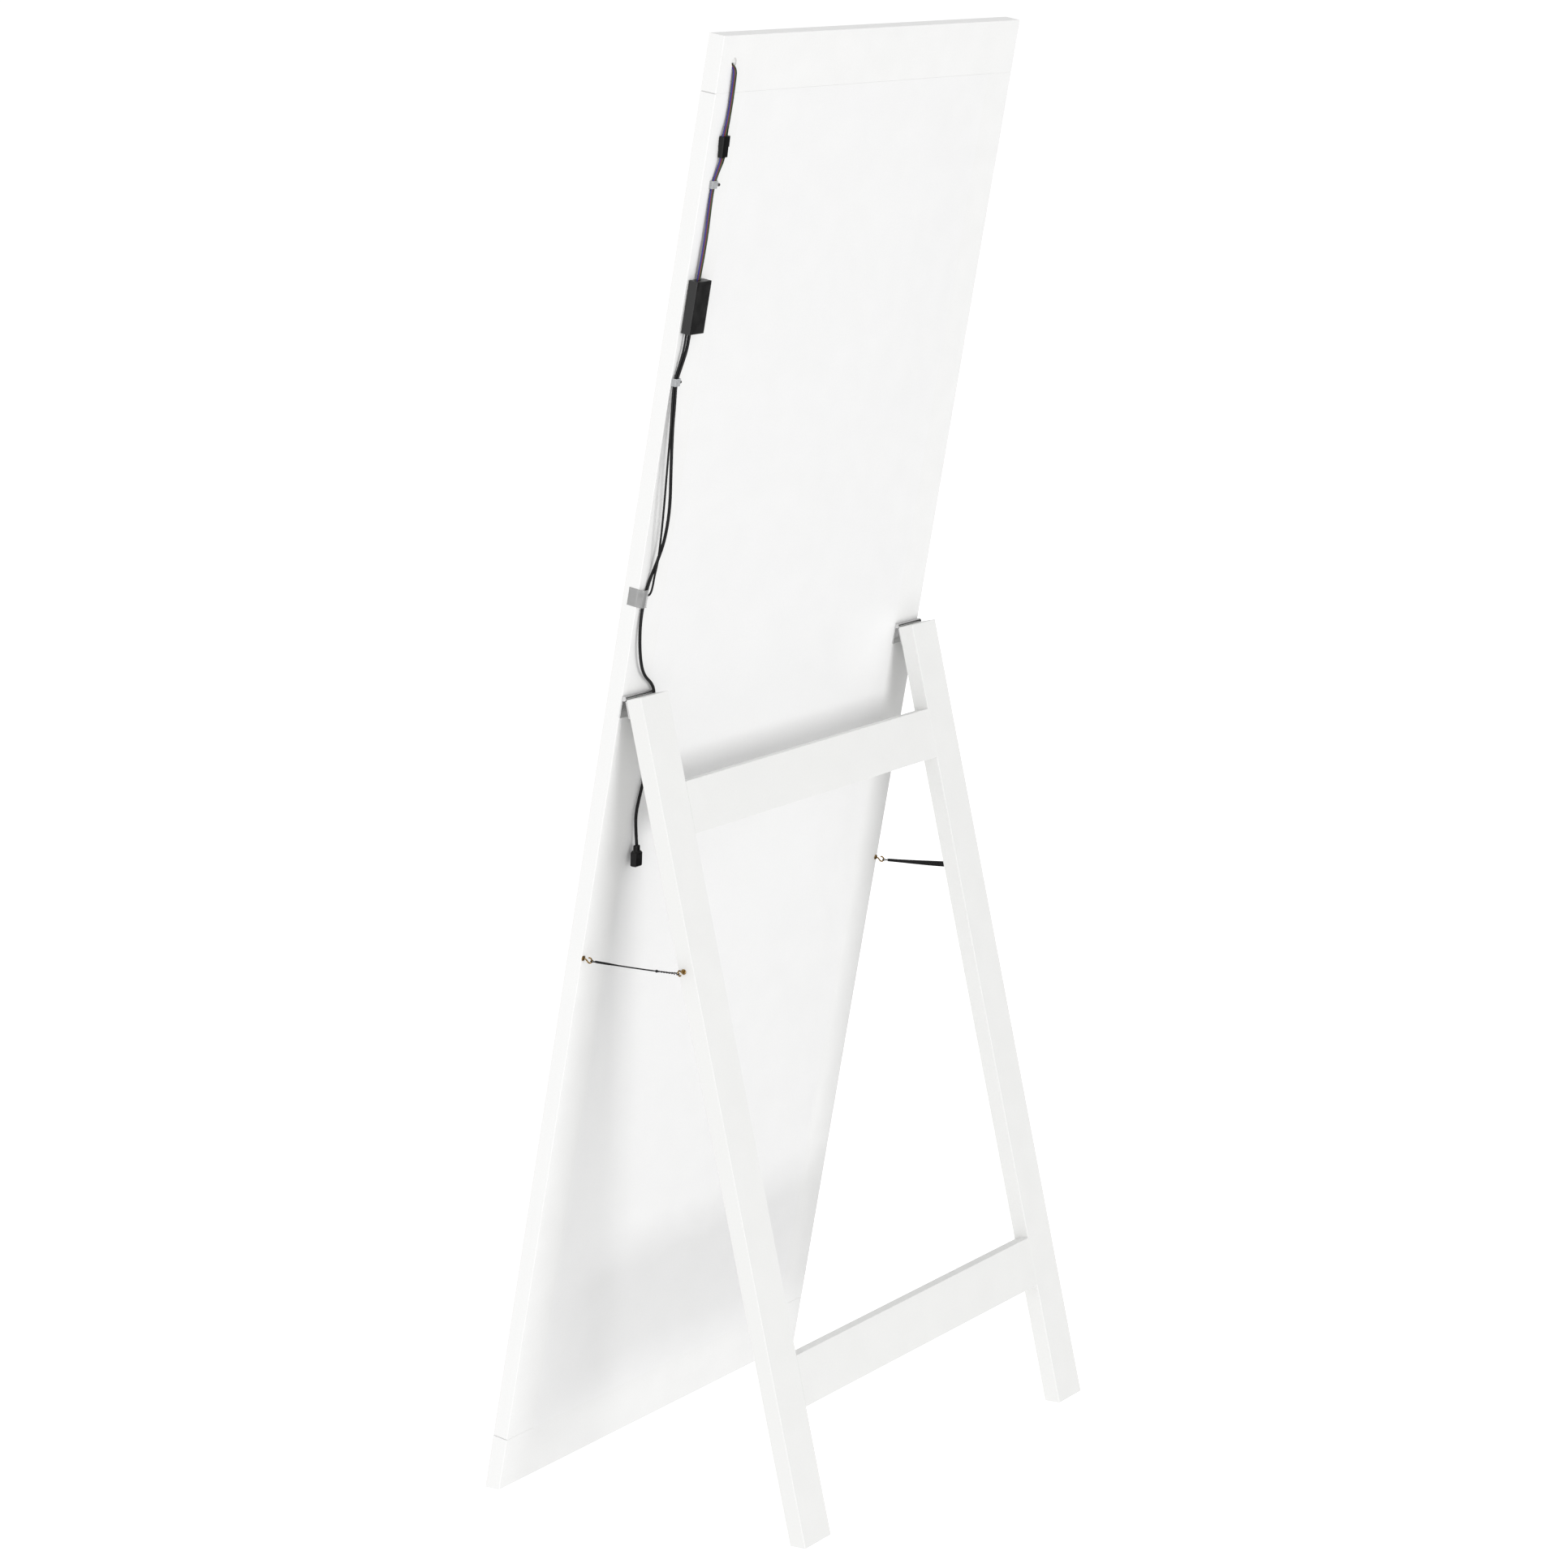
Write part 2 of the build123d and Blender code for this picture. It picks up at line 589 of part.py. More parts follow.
def tube(name, route, diameter):
    """A round cord along a route: straight runs joined by tangent arcs."""
    points = [Vector(*point) for point in route]
    radii = tube_radii(points)
    path = FilletPolyline(*points, radius=radii)
    section = Plane(origin=path @ 0, z_dir=path % 0) * Circle(diameter / 2)
    solid = sweep(section, path=path)
    expected = pi * diameter**2 / 4 * path.length
    print(f"{name}: length {path.length:.1f} mm, volume ratio {solid.volume / expected:.4f}")
    print("  radii", ", ".join(f"{radius:.1f}" for radius in radii))
    return solid


def connector_place():
    """Where the connector's two housings meet, on the back of the mirror."""
    return Location(CONNECTOR_CENTRE, (0, CONNECTOR_TURN, 0))


def connector_columns(radius, start, length):
    """One round bar for each of the connector's four ways, upwards from a height."""
    columns = []
    for index in range(4):
        x = (index - 1.5) * CONNECTOR_PITCH
        columns.append(rod((x, 0, start), (0, 0, 1), radius, length))
    return Compound(columns)


def connector_socket():
    """The upper housing, which the plug's nose goes into."""
    width, depth, height = SOCKET_SIZE
    body = block(around(0, width), around(0, depth), (0, height))
    body = chamfer(body.edges().filter_by(Axis.Z), HOUSING_EDGE)
    nose = [size + 2 * NOSE_GAP for size in NOSE_SIZE[:2]]
    body -= block(around(0, nose[0]), around(0, nose[1]), (0, NOSE_SIZE[2] + NOSE_GAP))
    body -= connector_columns(CONTACT_RADIUS + CONTACT_GAP, 0, CONTACT_LENGTH / 2 + CONTACT_OFFSET)
    body -= connector_columns(WIRE_HOLE_RADIUS, height - LEAD_INSET, LEAD_INSET)
    return connector_place() * body


def connector_plug():
    """The lower housing with its nose."""
    width, depth, height = PLUG_SIZE
    body = block(around(0, width), around(0, depth), (-height, 0))
    body = chamfer(body.edges().filter_by(Axis.Z), HOUSING_EDGE)
    body += block(around(0, NOSE_SIZE[0]), around(0, NOSE_SIZE[1]), (0, NOSE_SIZE[2]))
    lowest = CONTACT_OFFSET - CONTACT_LENGTH / 2
    body -= connector_columns(CONTACT_RADIUS + CONTACT_GAP, lowest, CONTACT_LENGTH)
    body -= connector_columns(WIRE_HOLE_RADIUS, -height, LEAD_INSET)
    return connector_place() * body


def connector_contacts():
    """The four metal pins through both housings."""
    columns = connector_columns(CONTACT_RADIUS, CONTACT_OFFSET - CONTACT_LENGTH / 2, CONTACT_LENGTH)
    return (connector_place() * columns).solids()


def wire_routes(index):
    """The two runs of one ribbon wire: hole to connector, and connector to controller."""
    order = 1.5 - index
    close = order * WIRE_PITCH
    spread = order * CONNECTOR_PITCH
    hole_z = CABLE_HOLE_Z - RIBBON_HOLE_DROP
    top, bottom = SOCKET_SIZE[2], -PLUG_SIZE[2]

    def at_connector(z):
        return tuple((connector_place() * Pos(spread, 0, z)).position)

    upper = [(CABLE_HOLE_X + close, CHANNEL_FLOOR, hole_z), (CABLE_HOLE_X + close, RIBBON_BEND_Y, hole_z)]
    upper += [(x + close, y, z) for x, y, z in UPPER_RIBBON]
    upper += [at_connector(top + CONNECTOR_STUB), at_connector(top - LEAD_INSET)]
    lower = [at_connector(bottom + LEAD_INSET), at_connector(bottom - CONNECTOR_STUB)]
    lower += [(x + close, y, z) for x, y, z in LOWER_RIBBON]
    lower.append((RIBBON_END_X + close, LEAD_Y, BOX_Z[1] + RIBBON_END_RISE))
    lower.append((RIBBON_END_X + close, LEAD_Y - RIBBON_END_DROP, BOX_Z[1] - LEAD_INSET))
    return upper, lower


def ribbon_wire(index):
    """Both runs of one wire."""
    name = f"wire_{WIRE_COLOURS[index]}"
    return [tube(name, route, WIRE_DIAMETER) for route in wire_routes(index)]


def cable_clip(clip):
    """A plastic arch over a lead, with a boss for its nail."""
    low, high = clip["x"]
    z = around(clip["z"], CLIP_HEIGHT)
    arch = block((low - CLIP_WALL, high + CLIP_WALL), (0, clip["height"] + CLIP_WALL), z)
    arch = fillet(arch.edges().filter_by(Axis.Z).group_by(Axis.Y)[-1], CLIP_WALL)
    arch -= block((low, high), (0, clip["height"]), z)
    start = (nail_x(clip), 0, clip["z"])
    boss = block(around(start[0], BOSS_WIDTH), (0, BOSS_HEIGHT), around(clip["z"], BOSS_WIDTH))
    boss = chamfer(boss.edges().filter_by(Axis.Y), BOSS_EDGE)
    hole = rod(start, (0, 1, 0), NAIL_RADIUS + WOOD_CLEARANCE, BOSS_HEIGHT)
    return arch + boss - hole


def clip_nail(clip):
    """The nail through a clip's boss."""
    start = (nail_x(clip), -NAIL_DEPTH, clip["z"])
    shank = rod(start, (0, 1, 0), NAIL_RADIUS, NAIL_DEPTH + BOSS_HEIGHT)
    head = rod((start[0], BOSS_HEIGHT, start[2]), (0, 1, 0), NAIL_HEAD_RADIUS, NAIL_HEAD_HEIGHT)
    head = chamfer(head.edges().filter_by(GeomType.CIRCLE).sort_by(Axis.Y)[-1:], NAIL_HEAD_EDGE)
    return shank + head


def ribbon_slot_size():
    """Width and thickness of a slot that the ribbon passes through."""
    spare = WIRE_DIAMETER + 2 * RIBBON_SLOT_GAP
    return 3 * WIRE_PITCH + spare, spare


def hole_plug():
    """The white filler of the ribbon's hole, with a slot that the ribbon comes out of."""
    near, far = HOLE_PLUG_Y
    start = (CABLE_HOLE_X, near, CABLE_HOLE_Z)
    disc = rod(start, (0, 1, 0), CABLE_HOLE_RADIUS - WOOD_CLEARANCE, far - near)
    width, height = ribbon_slot_size()
    slot_z = around(CABLE_HOLE_Z - RIBBON_HOLE_DROP, height)
    return disc - block(around(CABLE_HOLE_X, width), HOLE_PLUG_Y, slot_z)


def controller_openings():
    """The slot for the ribbon and the holes for the two leads."""
    width, thickness = ribbon_slot_size()
    slot_z = (BOX_Z[1] - BOX_WALL, BOX_Z[1])
    openings = [block(around(RIBBON_END_X, width), around(LEAD_Y, thickness), slot_z)]
    for x, diameter in ((USB_ROUTE[0][0], USB_DIAMETER), (IR_ROUTE[0][0], IR_DIAMETER)):
        radius = diameter / 2 + BOX_OPENING_GAP
        openings.append(rod((x, LEAD_Y, BOX_Z[0]), (0, 0, 1), radius, BOX_WALL))
    return Compound(openings)


def controller_shell(y, open_y):
    """Half of the controller's housing, hollow from its open side."""
    outer = block(BOX_X, y, BOX_Z)
    closed = outer.faces().sort_by(Axis.Y)[0 if open_y == y[1] else -1]
    outer = fillet(outer.edges().filter_by(Axis.Y) + closed.edges(), BOX_EDGE)
    hollow_y = (y[0] + BOX_WALL, y[1]) if open_y == y[1] else (y[0], y[1] - BOX_WALL)
    hollow_x = (BOX_X[0] + BOX_WALL, BOX_X[1] - BOX_WALL)
    hollow_z = (BOX_Z[0] + BOX_WALL, BOX_Z[1] - BOX_WALL)
    return outer - block(hollow_x, hollow_y, hollow_z)


def controller_case():
    """The rear half of the housing, stuck to the mirror's back."""
    return controller_shell((PAD_THICKNESS, BOX_SPLIT), BOX_SPLIT) - controller_openings()


def controller_lid():
    """The outer half of the housing."""
    return controller_shell((BOX_SPLIT, BOX_TOP), BOX_SPLIT)


def controller_board():
    """The circuit board between the leads' ends."""
    x = (BOX_X[0] + BOX_WALL + BOARD_GAP, BOX_X[1] - BOX_WALL - BOARD_GAP)
    z = (BOX_Z[0] + LEAD_INSET + BOARD_END_GAP, BOX_Z[1] - LEAD_INSET - BOARD_END_GAP)
    return block(x, BOARD_Y, z)


def controller_pad():
    """The double-sided adhesive pad under the housing."""
    x = (BOX_X[0] + PAD_INSET, BOX_X[1] - PAD_INSET)
    return block(x, (0, PAD_THICKNESS), (BOX_Z[0] + PAD_INSET, BOX_Z[1] - PAD_INSET))


def ir_receiver():
    """The domed sensor on the end of the infrared lead, pointing at the frame's edge."""
    x, y, z = IR_ROUTE[-1]
    barrel = rod((x + RECEIVER_GAP, y - RECEIVER_OFFSET, z), (1, 0, 0), RECEIVER_RADIUS, RECEIVER_LENGTH)
    return fillet(barrel.edges().filter_by(GeomType.CIRCLE).sort_by(Axis.X)[-1:], RECEIVER_DOME)


def outer_line(points, distance):
    """The same line moved outwards, away from the frame, with mitred corners."""
    vectors = [Vector(*point) for point in points]
    normals = [(b - a).normalized().rotate(Axis.Z, -90) for a, b in zip(vectors, vectors[1:])]
    moved = []
    for point, before, after in zip(vectors, normals[:1] + normals, normals + normals[-1:]):
        mitre = before + after
        moved.append(point + mitre * (2 * distance / mitre.length**2))
    return moved


def edge_tape():
    """The tape from the frame's side over the leads to its back."""
    inner = [Vector(*point) for point in TAPE_LINE]
    outer = outer_line(TAPE_LINE, TAPE_THICKNESS)
    outline = Polyline(*inner, *reversed(outer), close=True)
    return Pos(0, 0, TAPE_Z[0]) * extrude(make_face(outline), amount=TAPE_Z[1] - TAPE_Z[0])


def plug_place():
    """The end of the USB lead, with the plug hanging below it."""
    return Location(USB_ROUTE[-1], (PLUG_HANG, 0, 0))


def usb_plug():
    """The moulded body of the plug, with its neck round the lead's end."""
    neck_x, neck_y, neck_z = PLUG_NECK
    body_x, body_y, body_z = PLUG_BODY
    neck = block(around(0, neck_x), around(0, neck_y), (-neck_z, 0))
    neck = fillet(neck.edges().filter_by(Axis.Z) + neck.faces().sort_by(Axis.Z)[-1].edges(), PLUG_NECK_EDGE)
    low = Plane.XY.offset(-neck_z - PLUG_SHOULDER) * Rectangle(body_x, body_y)
    high = Plane.XY.offset(-neck_z) * Rectangle(neck_x, neck_y)
    shoulder = loft([low, high])
    bottom = -neck_z - PLUG_SHOULDER - body_z
    body = block(around(0, body_x), around(0, body_y), (bottom, -neck_z - PLUG_SHOULDER))
    return plug_place() * (neck + shoulder + body)


def plug_shell():
    """The metal mouth of the plug, inside its cap."""
    width, depth, height = PLUG_SHELL
    top = -PLUG_NECK[2] - PLUG_SHOULDER - PLUG_BODY[2]
    outer = block(around(0, width), around(0, depth), (top - height, top))
    wall = 2 * PLUG_SHELL_WALL
    inner = block(around(0, width - wall), around(0, depth - wall), (top - height, top - wall))
    return plug_place() * (outer - inner)


def plug_cap():
    """The push-on cap over the plug's mouth, with a bevelled end."""
    top = -PLUG_NECK[2] - PLUG_SHOULDER - PLUG_BODY[2]
    outer = block(around(0, PLUG_BODY[0]), around(0, PLUG_BODY[1]), (top - PLUG_CAP_LENGTH, top))
    outer = chamfer(outer.faces().sort_by(Axis.Z)[0].edges(), PLUG_CAP_EDGE)
    gap = 2 * PLUG_SHELL_GAP
    width, depth, height = PLUG_SHELL
    mouth = block(around(0, width + gap), around(0, depth + gap), (top - height - gap, top))
    return plug_place() * (outer - mouth)


def mirror_nodes():
    """Every piece on the mirror, drawn upright."""
    nodes = {
        "top_rail": top_rail(),
        "left_stile": stile(-1),
        "right_stile": stile(1),
        "back_panel": back_panel(),
        "mirror_glass": mirror_glass(),
        "light_strips": light_strips(),
        "light_diffusers": light_diffusers(),
        "frame_dowels": frame_dowel_rods(FRAME_DOWEL_RADIUS),
        "mirror_hinge_leaves": [hinge_leaf(side, False) for side in SIDES],
        "hinge_pins": [hinge_pin(side) for side in SIDES],
        "mirror_hinge_screws": hinge_screws(False),
        "mirror_hooks": mirror_hooks(),
        "cable_clips": [cable_clip(RIBBON_CLIP), cable_clip(LEAD_CLIP)],
        "clip_nails": [clip_nail(RIBBON_CLIP), clip_nail(LEAD_CLIP)],
        "hole_plug": hole_plug(),
        "connector_socket": connector_socket(),
        "connector_plug": connector_plug(),
        "connector_contacts": connector_contacts(),
        "controller_case": controller_case(),
        "controller_lid": controller_lid(),
        "controller_board": controller_board(),
        "controller_pad": controller_pad(),
        "usb_lead": tube("usb_lead", USB_ROUTE, USB_DIAMETER),
        "usb_plug": usb_plug(),
        "plug_shell": plug_shell(),
        "plug_cap": plug_cap(),
        "ir_lead": tube("ir_lead", IR_ROUTE, IR_DIAMETER),
        "ir_receiver": ir_receiver(),
        "edge_tape": edge_tape(),
    }
    for index, colour in enumerate(WIRE_COLOURS):
        nodes[f"wire_{colour}"] = ribbon_wire(index)
    return nodes


def stand_nodes():
    """Every piece on the stand, drawn closed against the mirror."""
    return {
        "upper_cross_rail": cross_rail(UPPER_RAIL_DROP),
        "lower_cross_rail": cross_rail(LOWER_RAIL_DROP),
        "rail_dowels": rail_dowel_rods(RAIL_DOWEL_RADIUS),
        "leg_hinge_leaves": [hinge_leaf(side, True) for side in SIDES],
        "leg_hinge_screws": hinge_screws(True),
        "leg_hooks": leg_hooks(),
    }


def floor_cut_nodes():
    """The pieces that are already in place, because the floor cuts their ends level."""
    return {
        "bottom_rail": bottom_rail(),
        "left_leg": leg(-1),
        "right_leg": leg(1),
        "left_strap": strap(-1),
        "right_strap": strap(1),
    }


def solids_of(shape):
    """All the solids of a piece or of a list of pieces."""
    pieces = shape if isinstance(shape, list) else [shape]
    return [solid for piece in pieces for solid in piece.solids()]


def write(nodes, place):
    """One STEP file for each node, moved to its place."""
    for name, shape in nodes.items():
        solids = [place * solid for solid in solids_of(shape)]
        export_step(Compound(solids), f"parts/{name}.step")


os.makedirs("parts", exist_ok=True)
write(mirror_nodes(), MIRROR_PLACE)
write(stand_nodes(), STAND_PLACE)
write(floor_cut_nodes(), Location())
hinge = (MIRROR_PLACE * Pos(0, HINGE_OFFSET, HINGE_Z)).position
print(f"hinge axis at y {hinge.Y:.3f}, z {hinge.Z:.3f}; opening {OPENING:.2f} degrees")
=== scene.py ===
"""Looks of the cheval floor mirror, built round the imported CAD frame.

Distances are in metres. The pieces on the mirror are worked out upright, in millimetres: x to the
right as seen from the front, y behind the rear face, z up from the rear bottom edge. MIRROR_PLACE
leans them back, and STAND_PLACE does the same for what is on the legs when the stand is closed.
"""

import json
import math

import bmesh
import bpy
from mathutils import Matrix, Vector


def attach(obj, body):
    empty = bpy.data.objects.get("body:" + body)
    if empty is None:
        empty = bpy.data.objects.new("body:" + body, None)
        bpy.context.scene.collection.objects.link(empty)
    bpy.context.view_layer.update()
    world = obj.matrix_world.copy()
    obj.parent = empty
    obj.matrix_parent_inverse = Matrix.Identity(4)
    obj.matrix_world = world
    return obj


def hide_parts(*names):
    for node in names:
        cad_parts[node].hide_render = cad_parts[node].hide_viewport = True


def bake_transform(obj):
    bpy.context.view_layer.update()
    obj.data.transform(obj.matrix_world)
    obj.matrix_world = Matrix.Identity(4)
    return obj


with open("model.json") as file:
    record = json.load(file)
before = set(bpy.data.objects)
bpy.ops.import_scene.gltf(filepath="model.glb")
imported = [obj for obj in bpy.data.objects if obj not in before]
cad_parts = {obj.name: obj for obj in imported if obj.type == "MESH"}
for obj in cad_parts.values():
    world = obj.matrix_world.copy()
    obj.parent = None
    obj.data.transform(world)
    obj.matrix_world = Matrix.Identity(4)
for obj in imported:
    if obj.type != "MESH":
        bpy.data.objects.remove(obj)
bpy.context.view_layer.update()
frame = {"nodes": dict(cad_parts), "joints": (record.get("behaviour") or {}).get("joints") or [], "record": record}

MM = 0.001
LEAN = math.radians(10.47)
SPLAY = math.radians(12.55)
HINGE_UPRIGHT = Vector((0.0, 2.5, 847.2)) * MM
HINGE = Vector(frame["joints"][0]["pos_m"])
FROM_HINGE = Matrix.Translation(-HINGE_UPRIGHT)
MIRROR_PLACE = Matrix.Translation(HINGE) @ Matrix.Rotation(-LEAN, 4, "X") @ FROM_HINGE
STAND_PLACE = Matrix.Translation(HINGE) @ Matrix.Rotation(SPLAY, 4, "X") @ FROM_HINGE


def on_mirror(point):
    """A point on the upright mirror, in millimetres, as it stands in the row frame."""
    return MIRROR_PLACE @ (Vector(point) * MM)


def on_stand(point):
    """A point on the closed stand, in millimetres, as it stands in the row frame."""
    return STAND_PLACE @ (Vector(point) * MM)


def add(name, data):
    """A new object in the scene."""
    obj = bpy.data.objects.new(name, data)
    bpy.context.scene.collection.objects.link(obj)
    return obj


# ---------------------------------------------------------------- camera


CAMERA_PLACE = (4.3344, 2.5183, 1.6262)
CAMERA_TOWARDS = Vector((-0.8495, -0.4955, -0.1813))
CAMERA_LENS = 113.5


def make_camera():
    """The camera behind the mirror and to its right, a little above its middle."""
    data = bpy.data.cameras.new("camera")
    data.lens = CAMERA_LENS
    data.sensor_width = 36.0
    data.clip_start = 0.1
    data.clip_end = 100.0
    camera = add("camera", data)
    camera.location = CAMERA_PLACE
    camera.rotation_mode = "QUATERNION"
    camera.rotation_quaternion = CAMERA_TOWARDS.to_track_quat("-Z", "Y")
    bpy.context.scene.camera = camera


make_camera()

# ---------------------------------------------------------------- materials


class Recipe:
    """A node material: one Principled shader, and the textures that feed it."""

    def __init__(self, name, colour, roughness, metallic=0.0):
        self.material = bpy.data.materials.new(name)
        self.material.use_nodes = True
        self.nodes = self.material.node_tree.nodes
        self.links = self.material.node_tree.links
        self.shader = self.nodes["Principled BSDF"]
        self.place = self.nodes.new("ShaderNodeTexCoord").outputs["Object"]
        self.set("Base Color", (*colour, 1.0))
        self.set("Roughness", roughness)
        self.set("Metallic", metallic)

    def set(self, socket, value):
        """A value that is the same all over the surface."""
        self.shader.inputs[socket].default_value = value

    def stretched(self, scale):
        """Object coordinates, scaled along each axis."""
        mapping = self.nodes.new("ShaderNodeMapping")
        mapping.inputs["Scale"].default_value = scale
        self.links.new(self.place, mapping.inputs["Vector"])
        return mapping.outputs["Vector"]

    def noise(self, scale, detail=3.0, roughness=0.5, place=None):
        """Noise from 0 to 1, with features about 1/scale metres across."""
        node = self.nodes.new("ShaderNodeTexNoise")
        node.inputs["Scale"].default_value = scale
        node.inputs["Detail"].default_value = detail
        node.inputs["Roughness"].default_value = roughness
        self.links.new(place or self.place, node.inputs["Vector"])
        return node.outputs["Fac"]

    def between(self, value, low, high, new_low=0.0, new_high=1.0):
        """A value's range moved to another range, and held inside it."""
        node = self.nodes.new("ShaderNodeMapRange")
        node.inputs["From Min"].default_value = low
        node.inputs["From Max"].default_value = high
        node.inputs["To Min"].default_value = new_low
        node.inputs["To Max"].default_value = new_high
        self.links.new(value, node.inputs["Value"])
        return node.outputs["Result"]

    def mixed(self, factor, first, second):
        """A colour between two others, each a colour or a socket."""
        node = self.nodes.new("ShaderNodeMix")
        node.data_type = "RGBA"
        self.links.new(factor, node.inputs["Factor"])
        for socket, colour in (("A", first), ("B", second)):
            target = [s for s in node.inputs if s.name == socket and s.type == "RGBA"][0]
            if isinstance(colour, tuple):
                target.default_value = (*colour, 1.0)
            else:
                self.links.new(colour, target)
        return [s for s in node.outputs if s.type == "RGBA"][0]

    def colour(self, socket):
        """A colour that varies over the surface."""
        self.links.new(socket, self.shader.inputs["Base Color"])

    def roughness(self, value, low, high):
        """A roughness that varies with a texture."""
        self.links.new(self.between(value, 0.3, 0.7, low, high), self.shader.inputs["Roughness"])

    def bump(self, height, distance, strength=1.0):
        """Fine relief, added to any that is there already."""
        node = self.nodes.new("ShaderNodeBump")
        node.inputs["Distance"].default_value = distance
        node.inputs["Strength"].default_value = strength
        self.links.new(height, node.inputs["Height"])
        target = self.shader.inputs["Normal"]
        if target.links:
            self.links.new(target.links[0].from_socket, node.inputs["Normal"])
        self.links.new(node.outputs["Normal"], target)


def lighter(colour, amount):
    """A colour made lighter, or darker when the amount is negative."""
    return tuple(min(1.0, max(0.0, part * (1 + amount))) for part in colour)


def painted(name, colour, roughness):
    """Satin white foil on smooth board: faint cloudiness, a fine print-like speckle and orange peel."""
    recipe = Recipe(name, colour, roughness)
    cloud = recipe.between(recipe.noise(5.0, 4.0, 0.6), 0.35, 0.65)
    speckle = recipe.between(recipe.noise(620.0, 2.0, 0.7), 0.38, 0.62)
    base = recipe.mixed(cloud, lighter(colour, -0.006), lighter(colour, 0.006))
    grey = recipe.mixed(cloud, lighter(colour, -0.022), lighter(colour, -0.012))
    recipe.colour(recipe.mixed(speckle, base, grey))
    recipe.roughness(recipe.noise(40.0, 3.0, 0.5), roughness - 0.05, roughness + 0.06)
    recipe.bump(recipe.noise(1400.0, 2.0), 0.00002, 0.35)
    recipe.bump(recipe.noise(160.0, 2.0), 0.00005, 0.25)
    return recipe.material


def silvered(name, colour):
    """A mirror's coating under clear glass, with a trace of haze."""
    recipe = Recipe(name, colour, 0.015, 1.0)
    haze = recipe.noise(6.0, 5.0, 0.65)
    recipe.roughness(haze, 0.008, 0.022)
    return recipe.material


def wood(name, colour):
    """Raw beech with fine grain along x."""
    recipe = Recipe(name, colour, 0.65)
    grain = recipe.noise(1.0, 5.0, 0.6, recipe.stretched((60.0, 700.0, 700.0)))
    recipe.colour(recipe.mixed(recipe.between(grain, 0.35, 0.65), lighter(colour, -0.25), colour))
    recipe.bump(grain, 0.0001, 0.5)
    return recipe.material


def bright_metal(name, colour, roughness, streak=(40.0, 1600.0, 1600.0)):
    """Plated steel, with faint drawn lines along x and small tarnished spots."""
    recipe = Recipe(name, colour, roughness, 1.0)
    lines = recipe.noise(1.0, 3.0, 0.6, recipe.stretched(streak))
    spots = recipe.between(recipe.noise(420.0, 4.0, 0.6), 0.5, 0.75)
    recipe.colour(recipe.mixed(spots, colour, lighter(colour, -0.12)))
    recipe.roughness(lines, roughness * 0.7, roughness * 1.5)
    recipe.bump(lines, 0.00001, 0.12)
    return recipe.material


def antique(name, dark, gold):
    """Brass plate that is dark in its hollows and rubbed bright in patches."""
    recipe = Recipe(name, gold, 0.3, 1.0)
    worn = recipe.between(recipe.noise(520.0, 4.0, 0.65), 0.38, 0.6)
    recipe.colour(recipe.mixed(worn, dark, gold))
    recipe.roughness(recipe.noise(900.0, 3.0), 0.24, 0.44)
    recipe.bump(recipe.noise(1500.0, 3.0), 0.00002, 0.4)
    return recipe.material


def moulded(name, colour, roughness, grain, depth, specular=0.5):
    """Moulded plastic or rubber: a fine even texture and slight mottling of its gloss."""
    recipe = Recipe(name, colour, roughness)
    recipe.set("Specular IOR Level", specular)
    fine = recipe.noise(grain, 2.0, 0.6)
    patch = recipe.between(recipe.noise(90.0, 3.0), 0.3, 0.7)
    recipe.colour(recipe.mixed(patch, lighter(colour, -0.12), lighter(colour, 0.12)))
    recipe.roughness(patch, roughness - 0.06, roughness + 0.06)
    recipe.bump(fine, depth, 0.5)
    return recipe.material


def translucent(name, colour, alpha, roughness, grain, relief):
    """Thin clear plastic that lets most light through, with a cloudy, slightly uneven surface."""
    recipe = Recipe(name, colour, roughness)
    recipe.set("Alpha", alpha)
    cloud = recipe.between(recipe.noise(grain, 3.0, 0.6), 0.35, 0.65)
    recipe.colour(recipe.mixed(cloud, lighter(colour, -0.06), lighter(colour, 0.06)))
    recipe.roughness(cloud, roughness - 0.05, roughness + 0.08)
    recipe.bump(recipe.noise(grain * 4.0, 2.0), relief, 0.4)
    recipe.material.surface_render_method = "BLENDED"
    return recipe.material


def milky(name, colour):
    """Light-diffusing plastic: light soaks into it."""
    recipe = Recipe(name, colour, 0.32)
    recipe.set("Subsurface Weight", 0.35)
    recipe.set("Subsurface Scale", 0.002)
    recipe.set("Subsurface Radius", (1.0, 1.0, 0.95))
    cloud = recipe.between(recipe.noise(30.0, 3.0), 0.35, 0.65)
    recipe.colour(recipe.mixed(cloud, lighter(colour, -0.015), colour))
    recipe.bump(recipe.noise(2200.0, 2.0), 0.00001, 0.3)
    return recipe.material


def circuit(name, colour):
    """Green solder mask with lighter copper tracks under it."""
    recipe = Recipe(name, colour, 0.3)
    tracks = recipe.between(recipe.noise(1.0, 0.0, 0.5, recipe.stretched((900.0, 900.0, 160.0))), 0.5, 0.53)
    recipe.colour(recipe.mixed(tracks, colour, lighter(colour, 0.6)))
    recipe.bump(tracks, 0.00003, 0.5)
    return recipe.material


def foamed(name, colour):
    """Closed-cell foam."""
    recipe = Recipe(name, colour, 0.8)
    cells = recipe.noise(2600.0, 3.0, 0.7)
    recipe.colour(recipe.mixed(recipe.between(cells, 0.35, 0.65), lighter(colour, -0.12), colour))
    recipe.bump(cells, 0.00008, 0.7)
    return recipe.material


